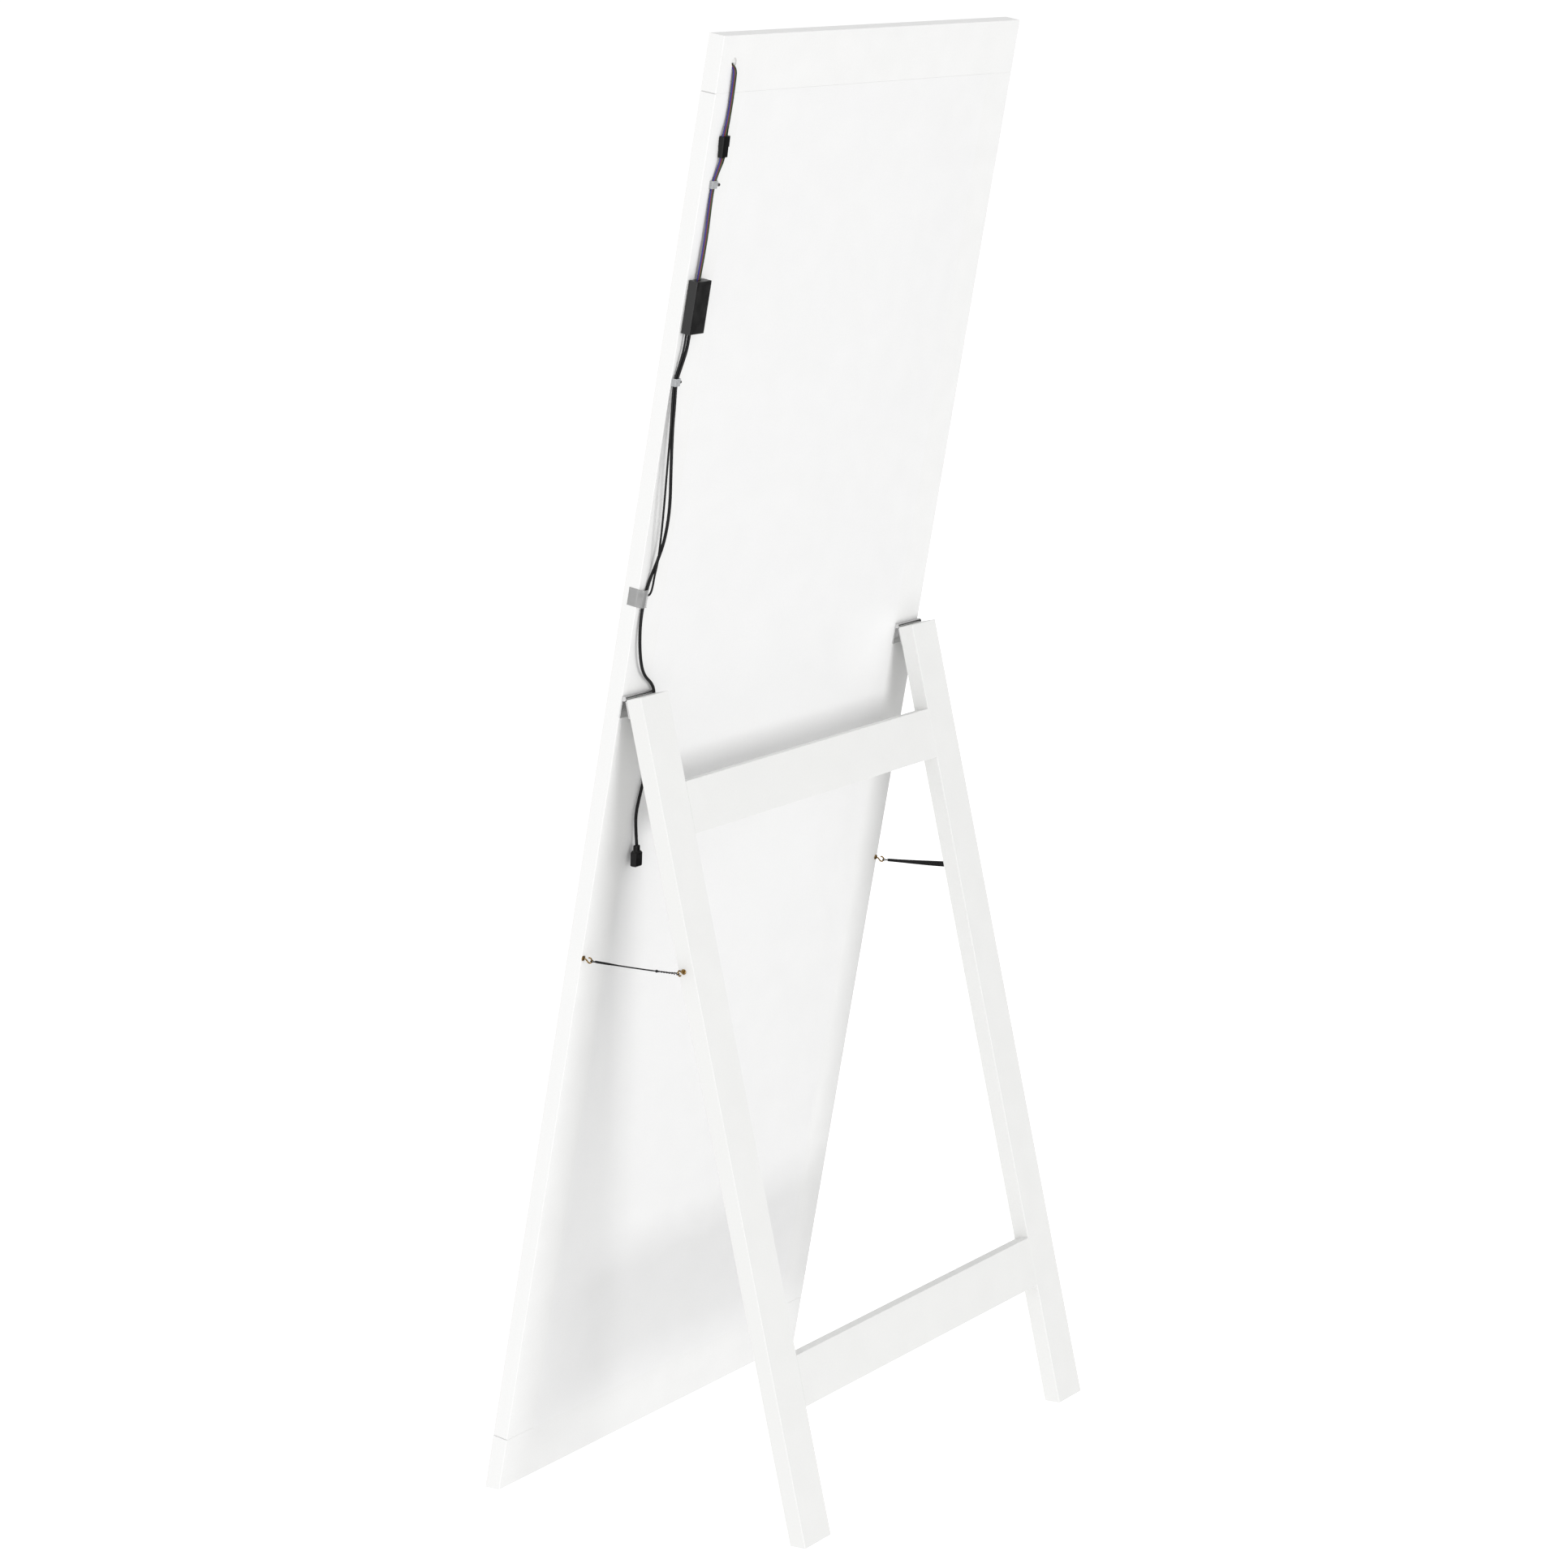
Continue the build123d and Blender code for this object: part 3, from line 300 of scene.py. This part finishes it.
def braided(name, colour):
    """Black woven tape: fine diagonal ribs and a soft sheen."""
    recipe = Recipe(name, colour, 0.72)
    recipe.set("Specular IOR Level", 0.2)
    recipe.set("Sheen Weight", 0.06)
    recipe.set("Sheen Roughness", 0.4)
    wave = recipe.nodes.new("ShaderNodeTexWave")
    wave.bands_direction = "DIAGONAL"
    wave.inputs["Scale"].default_value = 420.0
    wave.inputs["Distortion"].default_value = 1.2
    recipe.links.new(recipe.place, wave.inputs["Vector"])
    ribs = wave.outputs["Fac"]
    recipe.colour(recipe.mixed(ribs, lighter(colour, -0.5), lighter(colour, 0.7)))
    recipe.bump(ribs, 0.0001, 0.7)
    recipe.bump(recipe.noise(3000.0, 2.0), 0.00005, 0.5)
    return recipe.material


# The stand's white is darker than the frame's and the panel's. This is painted shade for the stand's rear faces,
# which get less light than the mirror's rear.
SHADED_STAND_WHITE = (0.775, 0.776, 0.765)
FRAME_WHITE = (0.812, 0.812, 0.806)
PANEL_WHITE = (0.82, 0.82, 0.818)
MATERIALS = {
    "white_board": painted("white_board", SHADED_STAND_WHITE, 0.42),
    "frame_board": painted("frame_board", FRAME_WHITE, 0.42),
    "back_sheet": painted("back_sheet", PANEL_WHITE, 0.36),
    "silvered_glass": silvered("silvered_glass", (0.9, 0.92, 0.92)),
    "bare_wood": wood("bare_wood", (0.62, 0.45, 0.27)),
    "strip_white": moulded("strip_white", (0.8, 0.8, 0.76), 0.5, 1500.0, 0.00002),
    "diffuser_milk": milky("diffuser_milk", (0.9, 0.9, 0.89)),
    "nickel": bright_metal("nickel", (0.62, 0.62, 0.62), 0.14),
    "antique_brass": antique("antique_brass", (0.07, 0.042, 0.018), (0.42, 0.27, 0.1)),
    "dark_steel": bright_metal("dark_steel", (0.06, 0.055, 0.05), 0.35),
    "bright_steel": bright_metal("bright_steel", (0.62, 0.62, 0.61), 0.25),
    "black_plastic": moulded("black_plastic", (0.011, 0.011, 0.011), 0.42, 2200.0, 0.00003),
    "black_nylon": moulded("black_nylon", (0.006, 0.006, 0.006), 0.36, 2200.0, 0.00003, 0.3),
    "black_cable": moulded("black_cable", (0.005, 0.005, 0.0055), 0.4, 1800.0, 0.00002, 0.22),
    "wire_blue": moulded("wire_blue", (0.032, 0.034, 0.2), 0.36, 1800.0, 0.00002, 0.3),
    "wire_red": moulded("wire_red", (0.18, 0.02, 0.028), 0.36, 1800.0, 0.00002, 0.3),
    "wire_green": moulded("wire_green", (0.045, 0.088, 0.024), 0.36, 1800.0, 0.00002, 0.3),
    "wire_black": moulded("wire_black", (0.006, 0.006, 0.006), 0.36, 1800.0, 0.00002, 0.3),
    "clip_plastic": translucent("clip_plastic", (0.46, 0.47, 0.48), 0.72, 0.26, 300.0, 0.00004),
    "clear_tape": translucent("clear_tape", (0.38, 0.382, 0.38), 0.5, 0.36, 60.0, 0.00002),
    "circuit_green": circuit("circuit_green", (0.02, 0.13, 0.06)),
    "foam": foamed("foam", (0.7, 0.7, 0.68)),
    "strap_cord": braided("strap_cord", (0.007, 0.007, 0.0073)),
}


def paint_cad():
    """Every CAD node gets the material of its slot in the record."""
    for subpart in frame["record"]["subparts"]:
        obj = frame["nodes"][subpart["node"]]
        obj.data.materials.clear()
        obj.data.materials.append(MATERIALS[subpart["material_slot"]])


def dress(obj, slot, body=None):
    """A new piece's material, picked by its slot, and the body that it rides on."""
    obj.data.materials.clear()
    obj.data.materials.append(MATERIALS[slot])
    if body:
        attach(obj, body)
    return obj


paint_cad()

# ---------------------------------------------------------------- leads and ribbon wires

USB_ROUTE = [
    (285.4, 3.6, 1215.8),
    (285.2, 3.8, 1199.0),
    (289.8, 3.2, 1182.0),
    (293.9, 1.9, 1165.0),
    (295.4, 5.0, 1146.0),
    (295.4, 7.2, 1118.0),
    (291.6, 10.8, 1076.0),
    (285.0, 12.0, 1040.0),
    (282.0, 10.0, 1008.0),
    (282.8, 5.4, 984.0),
    (286.0, 2.2, 966.0),
    (290.0, 1.9, 948.0),
    (292.8, 3.2, 925.0),
    (290.3, 5.2, 900.0),
    (283.0, 6.0, 880.0),
    (271.5, 5.2, 867.0),
    (253.5, 4.2, 857.0),
    (243.8, 3.0, 846.0),
    (241.2, 2.5, 824.0),
    (237.8, 2.4, 786.0),
    (236.4, 2.5, 757.0),
    (240.6, 2.6, 736.0),
    (243.0, 3.0, 719.0),
    (240.0, 4.0, 703.0),
    (237.4, 6.3, 687.0),
]
IR_ROUTE = [
    (291.4, 3.6, 1215.8),
    (291.0, 3.8, 1199.0),
    (294.4, 3.0, 1182.0),
    (297.1, 1.7, 1165.0),
    (299.1, 4.4, 1146.0),
    (299.0, 7.4, 1118.0),
    (297.4, 9.6, 1076.0),
    (294.0, 10.6, 1040.0),
    (290.2, 10.2, 1010.0),
    (286.4, 8.6, 986.0),
    (285.2, 6.6, 971.0),
    (282.6, 5.0, 961.5),
    (283.6, 4.8, 954.0),
    (288.8, 5.3, 951.2),
    (293.4, 3.6, 952.4),
]
USB_DIAMETER = 3.2
IR_DIAMETER = 2.1
WIRE_DIAMETER = 1.5
WIRE_PITCH = 1.6
CONNECTOR_PITCH = 2.54
CONNECTOR_PLACE = Matrix.Translation((274.6, 2.95, 1393.4)) @ Matrix.Rotation(math.radians(5.0), 4, "Y")
HOUSING_INSET = 2.8
CONNECTOR_STUB = 2.5
SOCKET_TOP = 10.6
PLUG_BOTTOM = -10.0
UPPER_RIBBON = [
    (274.6, -9.0, 1472.4),
    (274.6, 2.4, 1472.4),
    (273.4, 2.6, 1452.4),
    (272.2, 2.2, 1432.4),
    (273.4, 2.6, 1417.4),
]
LOWER_RIBBON = [
    (277.2, 2.3, 1370.0),
    (281.0, 1.5, 1357.0),
    (281.9, 2.2, 1337.0),
    (281.9, 3.4, 1310.0),
    (283.3, 3.9, 1285.0),
    (283.9, 3.6, 1270.0),
    (283.9, 3.55, 1262.2),
]


def spline_object(name, points, radius, around=12):
    """A smooth NURBS curve with those control points, as a round tube."""
    curve = bpy.data.curves.new(name, "CURVE")
    curve.dimensions = "3D"
    curve.bevel_depth = radius
    curve.bevel_resolution = around // 2 - 2
    curve.resolution_u = 10
    curve.use_fill_caps = True
    spline = curve.splines.new("NURBS")
    spline.points.add(len(points) - 1)
    for target, point in zip(spline.points, points):
        target.co = (*point, 1.0)
    spline.order_u = 3
    spline.use_endpoint_u = True
    return add(name, curve)


def lead(name, node, route, diameter, slot):
    """A free lead along its route on the mirror, which stands for its CAD solid."""
    points = [on_mirror(point) for point in route]
    obj = dress(spline_object(name, points, diameter * MM / 2), slot, "mirror")
    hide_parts(node)
    return obj


def make_leads():
    """The USB lead, up to its plug, and the lead of the remote's receiver."""
    lead("usb_cable", "usb_lead", USB_ROUTE, USB_DIAMETER, "black_cable")
    lead("ir_cable", "ir_lead", IR_ROUTE, IR_DIAMETER, "black_cable")


def at_connector(x, z):
    """A point in the connector's own frame, upright."""
    return tuple(CONNECTOR_PLACE @ Vector((x, 0.0, z)))


def wire_routes(order):
    """The two runs of one ribbon wire, from the hole to the connector and from there to the controller."""
    close = order * WIRE_PITCH
    spread = order * CONNECTOR_PITCH
    upper = [(x + close, y, z) for x, y, z in UPPER_RIBBON]
    upper.append(at_connector(spread, SOCKET_TOP + CONNECTOR_STUB))
    upper.append(at_connector(spread, SOCKET_TOP - HOUSING_INSET))
    lower = [
        at_connector(spread, PLUG_BOTTOM + HOUSING_INSET),
        at_connector(spread, PLUG_BOTTOM - CONNECTOR_STUB),
    ]
    lower += [(x + close, y, z) for x, y, z in LOWER_RIBBON]
    return upper, lower


WIRE_LENGTHS = {
    "blue": (81.4, 124.5),
    "red": (81.0, 125.0),
    "green": (80.6, 125.5),
    "black": (80.3, 126.0),
}


def make_ribbon():
    """The four wires of the ribbon, each in two runs."""
    for index, (colour, lengths) in enumerate(WIRE_LENGTHS.items()):
        node = f"wire_{colour}"
        order = (len(WIRE_LENGTHS) - 1) / 2 - index
        for run, route, length in zip(("upper", "lower"), wire_routes(order), lengths):
            name = f"{node}_{run}"
            lead(name, node, route, WIRE_DIAMETER, node)


make_leads()
make_ribbon()

# ---------------------------------------------------------------- straps

CURL_CENTRE = 7.75
CURL_RADIUS = 2.6
HOOK_WIRE = 0.8
MIRROR_HOOK = (297.0, 0.0, 577.0)
LEG_HOOK = (300.0, 10.5, 573.7)
STRAND = 0.45  # radius
SAG = Vector((0.0, 0.0, -0.6)) * MM
LOOP_SLACK = 0.05  # between an end loop and the hook's wire
WOUND_RADIUS = 0.68  # of the two strands winding about each other
MIRROR_WINDING = (1.0, 6.5)  # turns, and the length that they take
LEG_WINDING = {1: (4.6, 30.0), -1: (1.0, 8.0)}
BAND_START = 5.0
BAND_STOP = {1: 27.0, -1: 6.0}  # short of the leg's hook
KNOT_OFFSETS = (-2.0, -1.2, -0.4, 0.4, 1.2, 2.0)
KNOT_RADIUS = (0.5, 1.5)  # at its ends and in its middle
RIGHT_BAND_WIDTHS = (2.5, 1.5)
TURN_OVER = {"from": 14.0, "over": 24.0, "turn": math.radians(62)}
TWIST_UP = {"from": 78.0, "over": 8.0, "turn": math.radians(150)}
LEFT_BAND_WIDTHS = (3.3, 6.0, 2.4)  # at the mirror's hook, at the widest and at the leg's hook
WIDEN = {"from": 4.0, "over": 68.0}
GATHER = {"from": 92.0, "over": 12.0}


def spline_points(points):
    """Points along the smooth NURBS curve with those control points."""
    bare = spline_object("bare", points, 0.0)
    mesh = bpy.data.meshes.new_from_object(bare)
    line = [vertex.co.copy() for vertex in mesh.vertices]
    bpy.data.meshes.remove(mesh)
    bpy.data.curves.remove(bare.data)
    return line


class Line:
    """A nearly straight line with a frame of two directions across it."""

    def __init__(self, points, across):
        self.points = points
        self.along = [0.0]
        for a, b in zip(points, points[1:]):
            self.along.append(self.along[-1] + (b - a).length)
        self.length = self.along[-1]
        self.forward = (points[-1] - points[0]).normalized()
        self.side = (across - self.forward * across.dot(self.forward)).normalized()
        self.up = self.forward.cross(self.side)

    def at(self, distance):
        """The point at a distance from the start, beyond the ends too."""
        if distance <= 0:
            return self.points[0] + self.forward * distance
        if distance >= self.length:
            return self.points[-1] + self.forward * (distance - self.length)
        index = max(i for i, along in enumerate(self.along) if along <= distance)
        index = min(index, len(self.points) - 2)
        part = (distance - self.along[index]) / (self.along[index + 1] - self.along[index])
        return self.points[index].lerp(self.points[index + 1], part)

    def beside(self, distance, angle, radius):
        """A point beside the line, at an angle round it."""
        return self.at(distance) + (self.side * math.cos(angle) + self.up * math.sin(angle)) * radius


def skin(mesh, rings, closed_ends=True):
    """Quads between rings of equal size, and a face over each end."""
    made = [[mesh.verts.new(point) for point in ring] for ring in rings]
    for first, second in zip(made, made[1:]):
        count = len(first)
        for index in range(count):
            after = (index + 1) % count
            mesh.faces.new((first[index], first[after], second[after], second[index]))
    if closed_ends:
        mesh.faces.new(list(reversed(made[0])))
        mesh.faces.new(made[-1])


def round_rings(points, radius, around=8):
    """Rings of a round tube through points, with a frame that doesn't twist."""
    rings = []
    side = None
    for index, point in enumerate(points):
        before = points[max(index - 1, 0)]
        after = points[min(index + 1, len(points) - 1)]
        forward = (after - before).normalized()
        if side is None:
            side = forward.orthogonal().normalized()
        side = (side - forward * side.dot(forward)).normalized()
        up = forward.cross(side)
        size = radius(index / (len(points) - 1)) if callable(radius) else radius
        turns = [2 * math.pi * step / around for step in range(around)]
        rings.append([point + (side * math.cos(t) + up * math.sin(t)) * size for t in turns])
    return rings


def smooth(value):
    """From 0 to 1 with level ends."""
    value = min(1.0, max(0.0, value))
    return value * value * (3 - 2 * value)


def eye_strand(line, distance, direction, winding, sign):
    """One half of an end loop: round the back of a hook's wire, then winding about the other half."""
    turns, reach = winding
    loop = HOOK_WIRE + STRAND + LOOP_SLACK
    points = []
    for step in range(7):
        angle = math.pi / 2 * (1 - step / 6)
        offset = Vector((math.cos(angle) * loop * sign, -math.sin(angle) * loop))
        across = line.side * offset.x * MM + line.forward * direction * offset.y * MM
        points.append(line.at(distance) + across)
    for step in range(1, 25):
        part = step / 24
        drawn_in = smooth(part * 3)
        radius = (loop * (1 - drawn_in) + WOUND_RADIUS * drawn_in * (1 - 0.35 * part)) * MM
        angle = (0 if sign > 0 else math.pi) + 2 * math.pi * turns * part
        points.append(line.beside(distance + direction * part * reach * MM, angle, radius))
    return points


def band_rings(line, start, end, profile, steps=90):
    """Rings of a flat band: profile gives its width, thickness and turn at each part of its length."""
    rings = []
    for step in range(steps + 1):
        distance = start + (end - start) * step / steps
        width, thickness, turn = profile(distance / MM)
        ring = []
        for corner in range(12):
            angle = 2 * math.pi * corner / 12
            flat = math.copysign(abs(math.cos(angle)) ** 0.6, math.cos(angle)) * width / 2
            thick = math.copysign(abs(math.sin(angle)) ** 0.6, math.sin(angle)) * thickness / 2
            wide = line.up * math.cos(turn) + line.side * math.sin(turn)
            deep = line.side * math.cos(turn) - line.up * math.sin(turn)
            ring.append(line.at(distance) + wide * flat * MM + deep * thick * MM)
        rings.append(ring)
    return rings


def right_profile(distance):
    """The right strap is turned half over, and twists up towards the leg's hook."""
    first = smooth((distance - TURN_OVER["from"]) / TURN_OVER["over"])
    second = smooth((distance - TWIST_UP["from"]) / TWIST_UP["over"])
    wide, narrow = RIGHT_BAND_WIDTHS
    width = wide + (narrow - wide) * first
    return width, 1.0 + 0.2 * second, TURN_OVER["turn"] * first + TWIST_UP["turn"] * second


def left_profile(distance):
    """The left strap lies flat, and widens towards the leg."""
    widening = smooth((distance - WIDEN["from"]) / WIDEN["over"])
    gathering = smooth((distance - GATHER["from"]) / GATHER["over"])
    first, widest, last = LEFT_BAND_WIDTHS
    width = first + (widest - first) * widening
    return width * (1 - gathering) + last * gathering, 1.1 + 0.4 * gathering, 0.0


def knot_radius(part):
    """The knot's radius at a part of its length."""
    thin, thick = KNOT_RADIUS
    return (thin + (thick - thin) * math.sin(math.pi * part)) * MM


def strap(side, name, node):
    """One strap from its mirror hook to its leg hook, looped over both."""
    reach = CURL_CENTRE + CURL_RADIUS
    start = on_mirror((side * MIRROR_HOOK[0], reach, MIRROR_HOOK[2]))
    end = on_stand((side * (LEG_HOOK[0] + reach), LEG_HOOK[1], LEG_HOOK[2]))
    control = [start, start.lerp(end, 0.3) + SAG, start.lerp(end, 0.7) + SAG, end]
    line = Line(spline_points(control), Vector((1.0, 0.0, 0.0)))
    twisted = side > 0
    mesh = bmesh.new()
    for distance, direction, winding in ((0.0, 1, MIRROR_WINDING), (line.length, -1, LEG_WINDING[side])):
        for sign in (-1, 1):
            points = eye_strand(line, distance, direction, winding, sign)
            skin(mesh, round_rings(points, STRAND * MM))
    last = line.length - BAND_STOP[side] * MM
    skin(mesh, band_rings(line, BAND_START * MM, last, right_profile if twisted else left_profile))
    if twisted:
        knot = [line.at(last + offset * MM) for offset in KNOT_OFFSETS]
        skin(mesh, round_rings(knot, knot_radius, 12))
    bmesh.ops.recalc_face_normals(mesh, faces=mesh.faces)
    data = bpy.data.meshes.new(name)
    mesh.to_mesh(data)
    mesh.free()
    data.polygons.foreach_set("use_smooth", [True] * len(data.polygons))
    obj = dress(add(name, data), "strap_cord")
    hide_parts(node)
    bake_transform(obj)


strap(1, "right_hook_strap", "right_strap")
strap(-1, "left_hook_strap", "left_strap")

# ---------------------------------------------------------------- tape, pad and small details

TAPE_LINE = [
    (300.1, -10.6),
    (300.1, -3.0),
    (300.1, 1.2),
    (299.7, 5.0),
    (297.6, 6.2),
    (294.2, 5.9),
    (292.6, 6.2),
    (291.6, 6.5),
]
TAPE_Z = (940.0, 958.0)
TAPE_THICKNESS = 0.2
TAPE_ROWS = 14


def make_tape():
    """Clear tape from the frame's side, round its rear edge and over the leads, a little wrinkled."""
    line = spline_points([Vector((x, y, 0.0)) for x, y in TAPE_LINE])
    mesh = bmesh.new()
    grid = []
    for row in range(TAPE_ROWS + 1):
        up = row / TAPE_ROWS
        z = TAPE_Z[0] + (TAPE_Z[1] - TAPE_Z[0]) * up
        verts = []
        for index, point in enumerate(line):
            along = index / (len(line) - 1)
            free = smooth((along - 0.62) * 6)
            ripple = 0.2 * math.sin(7 * up + 9 * along) + 0.06 * math.sin(19 * up - 16 * along)
            verts.append(mesh.verts.new(on_mirror((point.x, point.y + ripple * free, z))))
        grid.append(verts)
    for low, high in zip(grid, grid[1:]):
        for index in range(len(low) - 1):
            mesh.faces.new((low[index], low[index + 1], high[index + 1], high[index]))
    bmesh.ops.recalc_face_normals(mesh, faces=mesh.faces)
    data = bpy.data.meshes.new("lead_tape")
    mesh.to_mesh(data)
    mesh.free()
    data.polygons.foreach_set("use_smooth", [True] * len(data.polygons))
    tape = add("lead_tape", data)
    solid = tape.modifiers.new("thickness", "SOLIDIFY")
    solid.thickness = TAPE_THICKNESS * MM
    solid.offset = 0.0
    dress(tape, "clear_tape", "mirror")
    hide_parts("edge_tape")


def soft_box(name, low, high, bevel, place=MIRROR_PLACE, segments=3):
    """A box with rounded edges between two corners in millimetres."""
    mesh = bmesh.new()
    bmesh.ops.create_cube(mesh, size=1.0)
    for vertex in mesh.verts:
        for axis in range(3):
            vertex.co[axis] = (low[axis] + high[axis]) / 2 + vertex.co[axis] * (high[axis] - low[axis])
    edges = list(mesh.edges)
    bmesh.ops.bevel(mesh, geom=edges, offset=bevel, segments=segments, profile=0.5, affect="EDGES")
    for vertex in mesh.verts:
        vertex.co = place @ (vertex.co * MM)
    bmesh.ops.recalc_face_normals(mesh, faces=mesh.faces)
    data = bpy.data.meshes.new(name)
    mesh.to_mesh(data)
    mesh.free()
    data.polygons.foreach_set("use_smooth", [True] * len(data.polygons))
    return add(name, data)


PAD_LOW = (271.5, 0.0, 1214.0)
PAD_HIGH = (296.3, 0.8, 1264.0)
PAD_EDGE = 0.25


def make_pad():
    """The foam pad under the controller."""
    pad = soft_box("controller_foam", PAD_LOW, PAD_HIGH, PAD_EDGE)
    dress(pad, "foam", "mirror")
    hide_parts("controller_pad")


ROUNDED_EDGES = {"usb_plug": 0.5, "plug_cap": 0.35, "connector_socket": 0.25, "connector_plug": 0.25}


def rounded(node, width, segments=2):
    """Rounds the edges of a CAD piece a little."""
    bevel = frame["nodes"][node].modifiers.new("rounding", "BEVEL")
    bevel.width = width * MM
    bevel.segments = segments
    bevel.limit_method = "ANGLE"
    bevel.angle_limit = math.radians(35)
    bevel.harden_normals = True


make_tape()
make_pad()
for node, width in ROUNDED_EDGES.items():
    rounded(node, width)

# ---------------------------------------------------------------- floor, light and background

DARK_TOWARDS = Vector((-0.86, 0.45, -0.1)).normalized()
SOFTBOX_AZIMUTH = math.radians(15.0)  # from +Y towards +X
SOFTBOX_RISE = math.radians(-0.7)
SOFTBOX_WIDTH = math.radians(27.0)
SOFTBOX_DISTANCE = 12.0
SOFTBOX_POWER = 642.0
AIM = Vector((0.0, 0.0, 0.5))
WORLD_LEVEL = 0.62
WORLD_SIDES = (  # axis, sign, amount
    ("X", 1.0, 0.5),
    ("Y", -1.0, 0.09),
    ("Z", -1.0, 0.36),
    ("Z", 1.0, 0.09),
)
SEEN_WORLD = 1.05  # level that the camera sees
DARK_LOBE = {"From Min": 0.72, "From Max": 0.95, "To Min": 1.0, "To Max": 0.04}
FLOOR_COLOUR = (0.8, 0.8, 0.8)
FLOOR_GLOW = 0.6
TOP_LIGHT = {"from": (0.0, -0.3, 0.95), "energy": 0.42, "angle": 30.0}


def socket_maths(nodes, links):
    """A function that adds maths nodes to a node tree."""

    def maths(operation, *values):
        node = nodes.new("ShaderNodeMath")
        node.operation = operation
        for socket, value in zip(node.inputs, values):
            if isinstance(value, float):
                socket.default_value = value
            else:
                links.new(value, socket)
        return node.outputs[0]

    return maths


def make_floor():
    """A plain white floor, which takes no shadow and throws no light."""
    mesh = bmesh.new()
    bmesh.ops.create_grid(mesh, x_segments=1, y_segments=1, size=20.0)
    data = bpy.data.meshes.new("floor")
    mesh.to_mesh(data)
    mesh.free()
    floor = add("floor", data)
    recipe = Recipe("floor_white", FLOOR_COLOUR, 0.9)
    recipe.set("Emission Color", (1.0, 1.0, 1.0, 1.0))
    recipe.set("Emission Strength", FLOOR_GLOW)
    data.materials.append(recipe.material)
    floor.visible_diffuse = False
    floor.visible_glossy = False
    floor.visible_transmission = False
    floor.visible_shadow = False


def make_world():
    """White to the eye. Its light is strongest from +X, and glossy surfaces see a dark patch in it."""
    world = bpy.data.worlds.new("studio")
    bpy.context.scene.world = world
    world.use_nodes = True
    nodes = world.node_tree.nodes
    links = world.node_tree.links
    nodes.clear()
    maths = socket_maths(nodes, links)

    direction = nodes.new("ShaderNodeTexCoord").outputs["Generated"]
    split = nodes.new("ShaderNodeSeparateXYZ")
    links.new(direction, split.inputs[0])
    level = maths("ADD", WORLD_LEVEL, 0.0)
    for axis, sign, amount in WORLD_SIDES:
        part = maths("MAXIMUM", maths("MULTIPLY", split.outputs[axis], sign), 0.0)
        level = maths("ADD", level, maths("MULTIPLY", part, amount))

    towards = nodes.new("ShaderNodeVectorMath")
    towards.operation = "DOT_PRODUCT"
    links.new(direction, towards.inputs[0])
    towards.inputs[1].default_value = DARK_TOWARDS
    lobe = nodes.new("ShaderNodeMapRange")
    lobe.interpolation_type = "SMOOTHSTEP"
    for socket, value in DARK_LOBE.items():
        lobe.inputs[socket].default_value = value
    links.new(towards.outputs["Value"], lobe.inputs["Value"])
    ray = nodes.new("ShaderNodeLightPath")

    def choose(flag, yes, no):
        chosen = maths("MULTIPLY", yes, flag)
        other = maths("MULTIPLY", no, maths("SUBTRACT", 1.0, flag))
        return maths("ADD", chosen, other)

    seen = choose(ray.outputs["Is Glossy Ray"], maths("MULTIPLY", level, lobe.outputs["Result"]), level)
    strength = choose(ray.outputs["Is Camera Ray"], SEEN_WORLD, seen)
    background = nodes.new("ShaderNodeBackground")
    background.inputs["Color"].default_value = (1.0, 1.0, 1.0, 1.0)
    links.new(strength, background.inputs["Strength"])
    output = nodes.new("ShaderNodeOutputWorld")
    links.new(background.outputs[0], output.inputs["Surface"])


def make_softbox():
    """One large square light behind the stand, level with it."""
    level = Vector((math.sin(SOFTBOX_AZIMUTH), math.cos(SOFTBOX_AZIMUTH), 0.0)) * math.cos(SOFTBOX_RISE)
    towards = level + Vector((0.0, 0.0, math.sin(SOFTBOX_RISE)))
    data = bpy.data.lights.new("softbox", "AREA")
    data.shape = "SQUARE"
    data.size = 2 * SOFTBOX_DISTANCE * math.tan(SOFTBOX_WIDTH / 2)
    data.energy = SOFTBOX_POWER
    light = add("softbox", data)
    light.location = AIM + towards * SOFTBOX_DISTANCE
    light.rotation_mode = "QUATERNION"
    light.rotation_quaternion = towards.to_track_quat("Z", "Y")
    light.visible_camera = False


def make_top_light():
    """A weak light from above and in front, which lifts the top edges."""
    data = bpy.data.lights.new("top_light", "SUN")
    data.energy = TOP_LIGHT["energy"]
    data.angle = math.radians(TOP_LIGHT["angle"])
    light = add("top_light", data)
    light.rotation_mode = "QUATERNION"
    light.rotation_quaternion = Vector(TOP_LIGHT["from"]).to_track_quat("Z", "Y")


make_floor()
make_world()
make_softbox()
make_top_light()
bpy.context.scene.view_settings.view_transform = "Standard"
